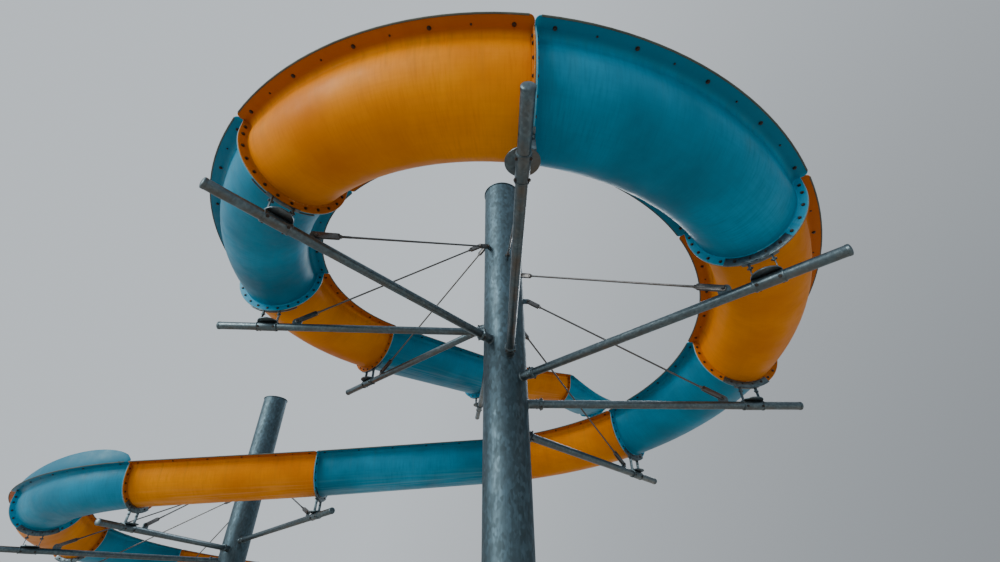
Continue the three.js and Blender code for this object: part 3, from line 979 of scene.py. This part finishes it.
# %% [markdown]
# ## The splash guard
#
# Where the slide swings the other way, riders climb the outer side, and a raised wall
# keeps the water in. Its top edge swells up and falls again. A straight strip would be
# too stiff a shape, so a line 1 m tall is swept, and its top points are lowered. A flat
# foot runs along it on the lip.

# %% Shape the guard's wall
GUARD_HEIGHT = 0.250
GUARD_END = 0.040
GUARD_PEAK = 0.3
GUARD_LEFT = 0.510
GUARD_RISE = 0.001
GUARD_STEPS = 40
GUARD_TEST_X = 0.8
GUARD_WALL = WALL * 0.9


def sweep_line(section, start, end):
    """Sweeps the line between two points of the start plane."""
    shape = bmesh.new()
    draw_on(shape, start_line(shape, *start), *end)
    sweep(shape, section, steps=GUARD_STEPS)
    return shape


def shape_guard_wall(section):
    foot = LIP_TOP + GUARD_RISE
    shape = sweep_line(section, (GUARD_LEFT, foot), (GUARD_LEFT, foot + 1))
    lean = log(0.5) / log(GUARD_PEAK)
    for vertex in shape.verts:
        along, left, up = unroll(section, vertex.co)
        if up > foot + 0.5:
            swell = sin(pi * share_along(section, along) ** lean)
            vertex.co.z -= 1 - GUARD_END - (GUARD_HEIGHT - GUARD_END) * swell
    shape.normal_update()
    test = min(shape.faces, key=lambda face: abs(face.calc_center_median().x - GUARD_TEST_X))
    thicken(shape, test, "y", GUARD_WALL)
    soften(shape, shape.verts[:], 0.003)
    return shape


print("the guard swells from", GUARD_END, "to", GUARD_HEIGHT, "m")

# %% Build the splash guard with its foot
FOOT_LEFT = (GUARD_LEFT + 0.009, 0.548)
FOOT_RISE = 0.0005
FOOT_WALL = 0.004
PAST_LIP_EDGE = 0.10


def make_guard():
    section = route[GUARD_SECTION - 1]
    shape = shape_guard_wall(section)
    foot = sweep_line(section, *((left, LIP_TOP + FOOT_RISE) for left in FOOT_LEFT))
    foot.normal_update()
    thicken(foot, foot.faces[:][0], "z", FOOT_WALL)
    add_shape(shape, foot)
    map_channel(section, shape)
    # Moved past the lip's edge, the guard misses the chips and takes the lip's painted shade all
    # over.
    chart = shape.loops.layers.uv["channel"]
    for face in shape.faces:
        for loop in face.loops:
            loop[chart].uv.y += PAST_LIP_EDGE
    carry(shape, joints[GUARD_SECTION - 1])
    return finish_piece(shape, "raised_guard", gelcoat["blue"], "blue_gelcoat", "splash_guard")


guard = make_guard()
print("guard:", len(guard.data.polygons), "faces, mapped past the lip's edge and its chips")

# %% [markdown]
# ## The columns
#
# Each column is a steel tube half a metre across, with a thin lid on top and a base
# plate held by gussets and anchor bolts. The tube is a plain cylinder with enough sides
# to look round. The lugs that carry the tie rods are plates with a rounded end: a block
# whose end corners are bevelled until they nearly meet.

# %% Columns, arms and where they meet
COLUMN_RADIUS = 0.250
SADDLE_DROP = 0.717
LUG_RISE = 1.380
LAST_ON_MAIN = 10
ASKEW_ARM = 6
ASKEW_SHIFTS = (0.050, -0.062)
columns = {"main": (Vector((0, 0, 0)), 6.720), "lower": (Vector((-5.240, 5.650, 0)), 5.800)}
Arm = namedtuple("Arm", "number column place reach wall")


def plan_arm(number):
    """The arm's frame starts at its column's axis and runs along X to the saddle."""
    column = "main" if number <= LAST_ON_MAIN else "lower"
    root_shift, saddle_shift = ASKEW_SHIFTS if number == ASKEW_ARM else (0, 0)
    joint = joints[number].translation
    saddle = (joints[number] @ move(saddle_shift)).translation
    axis = columns[column][0]
    spoke = (joint - axis).to_2d().normalized()
    root = Vector((axis.x - spoke.y * root_shift, axis.y + spoke.x * root_shift))
    span = saddle.to_2d() - root
    place = move(*root, joint.z - SADDLE_DROP) @ rotate(atan2(span.y, span.x), "Z")
    wall = sqrt(COLUMN_RADIUS ** 2 - root_shift ** 2)
    return Arm(number, column, place, span.length, wall)


arms = [plan_arm(number) for number in SUPPORTED]
print("arms:", len(arms), "longest", round(max(arm.reach for arm in arms), 2), "m")

# %% A lug with a rounded end
LUG_THICKNESS = 0.012
SAME = 0.001


def end_corners(verts, place, x):
    """The edges that run through a block's thickness, at the end that lies at x."""
    to_block = place.inverted()
    valid = (vertex for vertex in verts if vertex.is_valid)
    corners = []
    for edge in dict.fromkeys(edge for vertex in valid for edge in vertex.link_edges):
        first, second = (to_block @ vertex.co for vertex in edge.verts)
        if max(abs(first.x - x), abs(second.x - x), abs(first.z - second.z)) < SAME:
            corners.append(edge)
    return corners


def round_lug(shape, place, length, height, radius):
    """A plate that starts at x = 0 and ends in a half round."""
    verts = add_block(shape, place, (length, LUG_THICKNESS, height), (length / 2, 0, 0))
    bevel(shape, end_corners(verts, place, length), radius, 8)


print("lugs are", LUG_THICKNESS * 1000, "mm thick")

# %% Build the tubes with their lugs
COLUMN_SIDES = 96
CLEARANCE = 0.0003
BASE_THICKNESS = 0.030
LUG_REACH = 0.090
LUG_ROOT = 0.01
LUG_HEIGHT, LUG_ROUNDING = 0.070, 0.034


def make_tube(name):
    axis, top = columns[name]
    bottom = BASE_THICKNESS + CLEARANCE
    shape = bmesh.new()
    middle = move(axis.x, axis.y, (bottom + top) / 2)
    add_round(shape, middle, top - bottom, COLUMN_RADIUS, COLUMN_RADIUS, COLUMN_SIDES)
    for arm in (arm for arm in arms if arm.column == name):
        start = arm.wall - LUG_ROOT
        place = arm.place @ move(start, 0, LUG_RISE)
        length = COLUMN_RADIUS + LUG_REACH - start
        round_lug(shape, place, length, LUG_HEIGHT, LUG_ROUNDING)
    return finish_piece(shape, f"{name}_tube", column_zinc, "column_steel", f"{name}_column")


for name in columns:
    tube = make_tube(name)
    print(tube.name, len(tube.data.polygons), "faces")

# %% The lid of a column
LID_RADIUS = 0.262
LID_THICKNESS = 0.010


def add_plate(shape, axis, bottom, thickness, radius, soft):
    place = move(axis.x, axis.y, bottom + thickness / 2)
    add_round(shape, place, thickness, radius, radius, COLUMN_SIDES, soft)


def make_lid(name):
    axis, top = columns[name]
    shape = bmesh.new()
    add_plate(shape, axis, top + CLEARANCE, LID_THICKNESS, LID_RADIUS, 0.002)
    finish_piece(shape, f"{name}_lid", column_zinc, "column_steel", f"{name}_column_cap")


print("a lid stands out by", round((LID_RADIUS - COLUMN_RADIUS) * 1000), "mm")

# %% A gusset of a foot
GUSSET_THICKNESS = 0.012
GUSSET_END = 0.415
GUSSET_TOP = 0.260
GUSSET_TOP_END = 0.290


def make_gusset(shape, place):
    """A plate between the tube and the base, with its outer corner cut off."""
    size = (GUSSET_END - COLUMN_RADIUS, GUSSET_THICKNESS, GUSSET_TOP - BASE_THICKNESS)
    centre = ((GUSSET_END + COLUMN_RADIUS) / 2, 0, (GUSSET_TOP + BASE_THICKNESS) / 2)
    verts = add_block(shape, place, size, centre)
    for vertex in verts:
        local = place.inverted() @ vertex.co
        if local.x > centre[0] and local.z > centre[2]:
            vertex.co = place @ Vector((GUSSET_TOP_END, local.y, local.z))
    soften(shape, verts, 0.002)


print("gussets reach", GUSSET_TOP, "m up")

# %% Put the lids on, and build the feet
BASE_RADIUS = 0.430
GUSSETS = 6
WELD_DEPTH = 0.014
WELD_SINK = 0.001
ANCHOR_CIRCLE = 0.365
ANCHOR_NUT = (0.036, 0.019, 0.028)
STUD_HEIGHT = 0.055


def make_foot(name):
    axis = columns[name][0]
    shape, anchors = bmesh.new(), bmesh.new()
    add_plate(shape, axis, 0, BASE_THICKNESS, BASE_RADIUS, 0.003)
    for step in range(GUSSETS):
        make_gusset(shape, move(*axis) @ rotate(2 * pi * step / GUSSETS, "Z"))
    weld = move(axis.x, axis.y, BASE_THICKNESS - WELD_SINK + WELD_DEPTH / 2)
    low, high = COLUMN_RADIUS + WELD_DEPTH, COLUMN_RADIUS + WELD_SINK
    add_round(shape, weld, WELD_DEPTH, low, high, COLUMN_SIDES)
    finish_piece(shape, f"{name}_foot", column_zinc, "column_steel", f"{name}_column_base")
    for step in range(2 * GUSSETS):
        turned = rotate(pi * (step + 0.5) / GUSSETS, "Z")
        place = move(*axis) @ turned @ move(ANCHOR_CIRCLE, 0, BASE_THICKNESS)
        bolt_head(anchors, place, *ANCHOR_NUT)
        add_round(anchors, place @ move(z=STUD_HEIGHT / 2), STUD_HEIGHT, 0.012, 0.011, 12)
    finish_piece(anchors, f"{name}_anchors", bolt_steel, "column_steel")


for name in columns:
    make_lid(name)
    make_foot(name)
print("feet with", GUSSETS, "gussets and", 2 * GUSSETS, "anchor bolts each")

# %% [markdown]
# ## The bracket arms
#
# An arm starts as a short stub welded to the column. A clamp collar with set screws
# joins the long tube to it, and a plug with a low dome closes the tube's end. Under the
# channel a sleeve is clamped on the tube and carries a round plate. Two thin straps stand
# on the plate and are bolted to tabs on the cradle, a steel band that is bolted to the
# face of the flange. All of it could be one solid with booleans, but real brackets are
# cut, bent and bolted, so each part is its own closed shape, and they share one mesh.

# %% The weld rings and the end plug of an arm
TUBE = 0.0445
PLUG_LENGTH, PLUG_WALL = 0.034, 0.002
DOME_HEIGHT = 0.016


def weld_ring(shape, place, radius, thickness=0.005):
    """A bead of weld round a bar along X, where it leaves a flat face."""
    add_round(shape, place @ rotate(pi / 2, "Y"), thickness * 2, radius + thickness, radius)


def add_end_plug(shape, place, tip):
    """A short skirt round the end of the tube, with a low dome over it."""
    radius = TUBE + PLUG_WALL
    bar_along_x(shape, place, radius, tip - PLUG_LENGTH, tip - DOME_HEIGHT, soft=0)
    flat = Matrix.Diagonal((1, 1, DOME_HEIGHT / radius, 1))
    bmesh.ops.create_uvsphere(
        shape, u_segments=32, v_segments=12, radius=radius,
        matrix=place @ move(tip - DOME_HEIGHT) @ rotate(pi / 2, "Y") @ flat,
    )


print("the plug's dome is", DOME_HEIGHT * 1000, "mm high")

# %% The tube of an arm, its stub, collar, sleeve and lug
OVERHANG = 0.565
TUBE_START = 0.30
STUB, STUB_ROOT, STUB_END = 0.051, 0.02, 0.410
COLLAR, COLLAR_START = 0.062, 0.374
RING, RING_ENDS = COLLAR - 0.005, (0.340, 0.352)
SLEEVE, SLEEVE_HALF = 0.051, 0.120
BAND, BAND_HALF, BAND_INSET = SLEEVE + 0.0035, 0.008, 0.012
WELD_OUT = 0.004
LUG_INSET, ARM_LUG_START = 0.330, 0.035
ARM_LUG = (0.085, 0.110, 0.045)


def add_arm_tube(shape, arm):
    place, reach = arm.place, arm.reach
    tip = reach + OVERHANG
    bar_along_x(shape, place, TUBE, TUBE_START, tip - DOME_HEIGHT - PLUG_WALL)
    bar_along_x(shape, place, STUB, arm.wall - STUB_ROOT, STUB_END)
    weld_ring(shape, place @ move(arm.wall + WELD_OUT), STUB, 0.007)
    bar_along_x(shape, place, COLLAR, COLLAR_START, STUB_END, soft=0.003)
    bar_along_x(shape, place, RING, *RING_ENDS, soft=0.003)
    weld_ring(shape, place @ move(STUB_END + WELD_OUT), TUBE)
    bar_along_x(shape, place, SLEEVE, reach - SLEEVE_HALF, reach + SLEEVE_HALF, soft=0.003)
    for side in (-1, 1):
        band = reach + side * (SLEEVE_HALF - BAND_INSET)
        bar_along_x(shape, place, BAND, band - BAND_HALF, band + BAND_HALF)
    add_end_plug(shape, place, tip)


def add_lug(shape, arm):
    """The lug for the tie rod stands on the tube, inside the saddle."""
    foot = move(arm.reach - LUG_INSET, 0, ARM_LUG_START)
    round_lug(shape, arm.place @ foot @ rotate(-pi / 2, "Y"), *ARM_LUG)


print("overhang", OVERHANG, "m")

# %% The round plate and the screws of an arm
DISC_RADIUS, DISC_THICKNESS = 0.120, 0.012
DISC_TOP = SLEEVE - 0.002 + DISC_THICKNESS
SCREW_PLACES = (-0.086, 0.086)
SCREW_ANGLES = (radians(115), radians(-115))
SLEEVE_SCREW = (0.019, 0.009, 0.014)
SET_SCREWS = 4
SET_SCREW_PLACE = (COLLAR_START + STUB_END) / 2
SET_SCREW = (0.017, 0.014)


def add_disc(shape, arm):
    place = arm.place @ move(arm.reach, 0, DISC_TOP - DISC_THICKNESS / 2)
    add_round(shape, place, DISC_THICKNESS, DISC_RADIUS, DISC_RADIUS, 48, 0.0015)


def add_arm_screws(shape, arm):
    """Screws in the sleeve and set screws in the collar."""
    for x in SCREW_PLACES:
        for angle in SCREW_ANGLES:
            out = rotate(angle, "X") @ move(arm.reach + x, 0, SLEEVE - 0.001)
            bolt_head(shape, arm.place @ out, *SLEEVE_SCREW)
    for step in range(SET_SCREWS):
        out = rotate(pi / 4 + step * pi / 2, "X") @ move(SET_SCREW_PLACE, 0, COLLAR - 0.002)
        bolt_head(shape, arm.place @ out, *SET_SCREW)


print("screws per arm:", len(SCREW_PLACES) * len(SCREW_ANGLES) + SET_SCREWS)

# %% The cradle
CRADLE_INNER, CRADLE_OUTER = 0.433, 0.510
CRADLE_FRONT = 0.0129
# The inner and outer radius, first and last angle, and back and front of each plate:
# the two halves of the band, the splice behind them, and the shoe under the flanges.
CRADLE_PLATES = (
    (CRADLE_INNER, CRADLE_OUTER, -33, 2, -CRADLE_FACE, -CRADLE_FRONT),
    (CRADLE_INNER, CRADLE_OUTER, 4, 33, -CRADLE_FACE, -CRADLE_FRONT),
    (0.440, 0.503, -9, 15, -CRADLE_FACE - 0.0062, -CRADLE_FACE - 0.0002),
    (0.5022, CRADLE_OUTER, -16.5, 16.5, -0.020, 0.020),
)


def add_arc_plate(shape, place, inner, outer, start, end, back, front):
    """A flat band of a circle in the YZ plane, between two places along X."""
    part = bmesh.new()
    start, end = radians(start), radians(end)
    vertex = start_line(part, inner * sin(start), -inner * cos(start), back)
    steps = max(3, round(abs(end - start) / radians(5)))
    spin_on(part, vertex, (back, 0, 0), end - start, steps)
    grown = bmesh.ops.extrude_edge_only(part, edges=part.edges[:])["geom"]
    far = pick(grown, bmesh.types.BMVert)
    bmesh.ops.scale(part, vec=(1, outer / inner, outer / inner), verts=far)
    raised = bmesh.ops.extrude_face_region(part, geom=part.faces[:])["geom"]
    lifted = pick(raised, bmesh.types.BMVert)
    bmesh.ops.translate(part, vec=(front - back, 0, 0), verts=lifted)
    bmesh.ops.recalc_face_normals(part, faces=part.faces[:])
    soften(part, part.verts[:], 0.0012)
    add_shape(shape, part, place)


print("cradle from", CRADLE_INNER, "to", CRADLE_OUTER, "m")

# %% The straps
STRAP_LEFT = 0.095
STRAP_TOP = -0.497
LEG_SECTION = (0.040, 0.008)
TAB_SIZE, TAB_INWARDS, TAB_DROP = (0.036, 0.007, 0.066), 0.0077, 0.028
FOOT_SIZE, FOOT_INWARDS, FOOT_LIFT = (0.040, 0.044, 0.007), 0.024, 0.0025
STRAP_BOLT, STRAP_BOLT_DROP = (0.019, 0.013, 0.014), 0.046
STRAP_FACE, TAB_FACE = 0.004, 0.0112
FOOT_BOLT, FOOT_BOLT_INWARDS, FOOT_TOP = (0.019, 0.010, 0.014), 0.030, 0.006


def add_strap(shape, place, left, bottom, top):
    """A thin strap on a bent foot, bolted to a tab that hangs from the cradle."""
    side = copysign(1, left)
    for size, inwards, up in (
        ((*LEG_SECTION, top - bottom), 0, (top + bottom) / 2),
        (TAB_SIZE, TAB_INWARDS, top - TAB_DROP),
        (FOOT_SIZE, FOOT_INWARDS, bottom + FOOT_LIFT),
    ):
        add_block(shape, place, size, (0, left - side * inwards, up), soft=0.0012)
    on_foot = place @ move(0, left - side * FOOT_BOLT_INWARDS, bottom + FOOT_TOP)
    bolt_head(shape, on_foot, *FOOT_BOLT)
    for facing, distance in ((side, STRAP_FACE), (-side, TAB_FACE)):
        spot = move(0, left + facing * distance, top - STRAP_BOLT_DROP)
        bolt_head(shape, place @ spot @ rotate(-facing * pi / 2, "X"), *STRAP_BOLT)


print("straps are", round(STRAP_TOP - DISC_TOP + SADDLE_DROP, 3), "m tall")

# %% Put the arms together
def make_arm(arm):
    shape = bmesh.new()
    add_arm_tube(shape, arm)
    add_lug(shape, arm)
    add_disc(shape, arm)
    joint = joints[arm.number]
    for plate in CRADLE_PLATES:
        add_arc_plate(shape, joint, *plate)
    for left in (-STRAP_LEFT, STRAP_LEFT):
        add_strap(shape, joint, left, DISC_TOP - SADDLE_DROP + 0.001, STRAP_TOP)
    number = f"{arm.number:02d}"
    finish_piece(shape, f"bracket_{number}", arm_zinc, "arm_steel", f"arm_{number}")
    screws = bmesh.new()
    add_arm_screws(screws, arm)
    finish_piece(screws, f"bracket_bolts_{number}", bolt_steel, "rod_steel")


for arm in arms:
    make_arm(arm)
print("brackets:", len(arms))

# %% [markdown]
# ## The tie rods
#
# A rod runs from the lug on the column, which a short fork clasps, down to the lug on the
# arm. There it ends in a turnbuckle, an open frame of two flat bars that takes up the
# rod's threaded end. The corners of a bar are bevelled until they meet in a round eye,
# and a bolt goes through each pair. A true helix would cost thousands of faces on every
# rod, so the thread is a row of short rings, which read as a thread at this size.

# %% The bars and the thread of a tie rod
ROD = 0.011
CHEEK_HEIGHT, CHEEK_THICKNESS, CHEEK_OUT = 0.054, 0.010, 0.0113
EYE_REACH = 0.025
PITCH, RIDGE, RIDGES = 0.0065, 0.0034, 14


def add_cheek(shape, side, eye, tail):
    """A flat bar beside the lug, rounded fully round its eye and a little at its tail."""
    size = (abs(tail - eye), CHEEK_THICKNESS, CHEEK_HEIGHT)
    verts = add_block(shape, Matrix(), size, ((eye + tail) / 2, side * CHEEK_OUT, 0))
    for end, offset, segments in ((eye, 0.0255, 6), (tail, 0.013, 4)):
        bevel(shape, end_corners(verts, Matrix(), end), offset, segments)


def add_thread(shape, start):
    for step in range(RIDGES):
        ridge = start + step * PITCH
        bar_along_x(shape, Matrix(), ROD + 0.0012, ridge, ridge + RIDGE, 12, 0)


print("thread:", RIDGES, "rings over", round(RIDGES * PITCH * 1000), "mm")

# %% Plan where a rod runs
TOP_PIN_INSET = 0.030
ARM_PIN_UP = 0.090


def plan_rod(arm):
    """The rod's frame runs along X from the pin at the column to the pin at the arm."""
    top = Vector((COLUMN_RADIUS + LUG_REACH - TOP_PIN_INSET, 0, LUG_RISE))
    run = Vector((arm.reach - LUG_INSET, 0, ARM_PIN_UP)) - top
    return arm.place @ move(*top) @ rotate(-atan2(run.z, run.x), "Y"), run.length


print("longest rod:", round(max(plan_rod(arm)[1] for arm in arms), 2), "m")

# %% Build the tie rods
TURNBUCKLE = 0.240
TOP_FORK = 0.160
END_BLOCK = 0.030
ROD_IN_FRAME = 0.130
THREAD_STARTS = (0.034, -0.120)
NUT_RADIUS, NUT_LENGTH = 0.018, 0.016
NUT_PAST_FORK, NUT_BEFORE_FRAME = 0.004, 0.022
PIN_FACE = CHEEK_OUT + CHEEK_THICKNESS / 2
PIN_BOLT = (0.030, 0.012, 0.020)


def make_rod(arm):
    place, length = plan_rod(arm)
    frame_start = length - TURNBUCKLE
    shape = bmesh.new()
    for side in (-1, 1):
        add_cheek(shape, side, -EYE_REACH, TOP_FORK)
        add_cheek(shape, side, length + EYE_REACH, frame_start)
    for middle in (TOP_FORK - END_BLOCK / 2, frame_start + END_BLOCK / 2):
        size = (END_BLOCK, 2 * PIN_FACE, CHEEK_HEIGHT - 0.006)
        add_block(shape, Matrix(), size, (middle, 0, 0), soft=0.003)
    soften(shape, shape.verts[:], 0.001, 60)
    ends = (TOP_FORK - END_BLOCK / 2, frame_start + ROD_IN_FRAME)
    bar_along_x(shape, Matrix(), ROD, *ends, sides=16, soft=0)
    for start in (TOP_FORK + NUT_PAST_FORK, frame_start - NUT_BEFORE_FRAME):
        end = start + NUT_LENGTH
        bar_along_x(shape, Matrix(), NUT_RADIUS, start, end, sides=6, soft=0.001)
    for start in THREAD_STARTS:
        add_thread(shape, frame_start + start)
    for pin in (0, length):
        for side in (-1, 1):
            facing = move(pin, side * PIN_FACE) @ rotate(-side * pi / 2, "X")
            bolt_head(shape, facing, *PIN_BOLT)
    carry(shape, place)
    number = f"{arm.number:02d}"
    return finish_piece(shape, f"stay_{number}", rod_zinc, "rod_steel", f"tie_rod_{number}")


for arm in arms:
    stay = make_rod(arm)
print("tie rods:", len(arms), "faces in the last:", len(stay.data.polygons))

# %% [markdown]
# ## Floor, light and camera
#
# The tower stands on a plain pale floor. The light is that of a bright open day made
# simple: a pale surround that dims to the right, one wide soft light from the left, and
# a weaker one from behind that draws the rims. Area lights near the tower would leave
# pools on the floor, so both are very far and wide. The camera is at eye height and
# looks up.

# %% Lay the floor
FLOOR_HALF = 120
FLOOR_MIDDLE = (-2.5, 3.0, -0.001)


def make_floor():
    shape = bmesh.new()
    middle = move(*FLOOR_MIDDLE)
    bmesh.ops.create_grid(shape, x_segments=8, y_segments=8, size=FLOOR_HALF, matrix=middle)
    material, shader, place = start_material("pale_floor")
    patches = use_group(cloudy_tone, place, 0.6, 0.0, 1.0)
    colour = lay_colours((0.50, 0.48, 0.44, 1), (patches, (0.56, 0.54, 0.50, 1)))
    plug(shader["Base Color"], colour)
    shader["Roughness"].default_value = 0.9
    floor = add_object("floor", make_mesh(shape, "floor", material))
    floor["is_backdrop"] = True


make_floor()
print("floor:", 2 * FLOOR_HALF, "m wide")

# %% Light it softly
LIGHTS_AIM = Vector((-1, 1, 4))


def add_soft_light(name, place, strength, width, colour):
    """A light so far away and so wide that it leaves no pool on the floor."""
    data = bpy.data.lights.new(name, "SUN")
    data.energy = strength
    data.angle = radians(width)
    data.color = colour
    light = add_object(name, data)
    light.location = place
    light.rotation_euler = (LIGHTS_AIM - Vector(place)).to_track_quat("-Z", "Y").to_euler()
    return light


lights = [
    add_soft_light("left_key", (-20, -13, 14), 2.8, 35, (1.0, 0.96, 0.90)),
    add_soft_light("back_rim", (8, 22, 20), 0.85, 26, (0.94, 0.97, 1.0)),
]
print("lights:", ", ".join(light.name for light in lights))

# %% Put a pale surround round it
DIM_SIDE = Vector((0.94, 0.15, -0.3))
SURROUND_STRENGTH = 0.76


def make_surround():
    """A pale surround that dims towards one side, so bare metal has something to mirror."""
    world = bpy.data.worlds.new("pale_surround")
    world.use_nodes = True
    tree = world.node_tree
    aim = (add_node(tree, "TexCoord").outputs["Generated"], DIM_SIDE.normalized())
    towards = add_node(tree, "VectorMath", aim, operation="DOT_PRODUCT").outputs["Value"]
    dimmed = map_range(towards, (-0.1, 0.9), (0.0, 1.0))
    colour = lay_colours((0.84, 0.91, 0.97, 1), (dimmed, (0.33, 0.36, 0.39, 1)))
    surround = tree.nodes["Background"].inputs
    plug(surround["Color"], colour)
    surround["Strength"].default_value = SURROUND_STRENGTH
    bpy.context.scene.world = world


make_surround()
print("surround strength", SURROUND_STRENGTH)

# %% Set up the camera
CAMERA_PLACE = (-0.214, -4.766, 1.500)
CAMERA_UP = radians(33.352)
CAMERA_RIGHT = radians(1.965)
CAMERA_ROLL = radians(-0.698)
FOCAL_PIXELS = 456.95
IMAGE_WIDTH = 1000
IMAGE_HEIGHT = 562
MIDDLE_ROW = 312.34

lens = bpy.data.cameras.new("camera")
lens.sensor_width = 36
lens.lens = lens.sensor_width * FOCAL_PIXELS / IMAGE_WIDTH
lens.shift_y = (MIDDLE_ROW - IMAGE_HEIGHT / 2) / IMAGE_WIDTH
lens.clip_end = 200
camera = add_object("camera", lens)
heading = move(*CAMERA_PLACE) @ rotate(-CAMERA_RIGHT, "Z")
camera.matrix_world = heading @ rotate(pi / 2 + CAMERA_UP, "X") @ rotate(CAMERA_ROLL, "Z")
bpy.context.scene.camera = camera
print("lens", round(lens.lens, 2), "mm")

# %% Compare the sizes and finish
dressed_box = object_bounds()
for solid_corner, dressed_corner in zip(solid_box, dressed_box):
    print("dressed less solid:", rounded(Vector(dressed_corner) - Vector(solid_corner), 4))
print("pieces:", len(made_pieces))
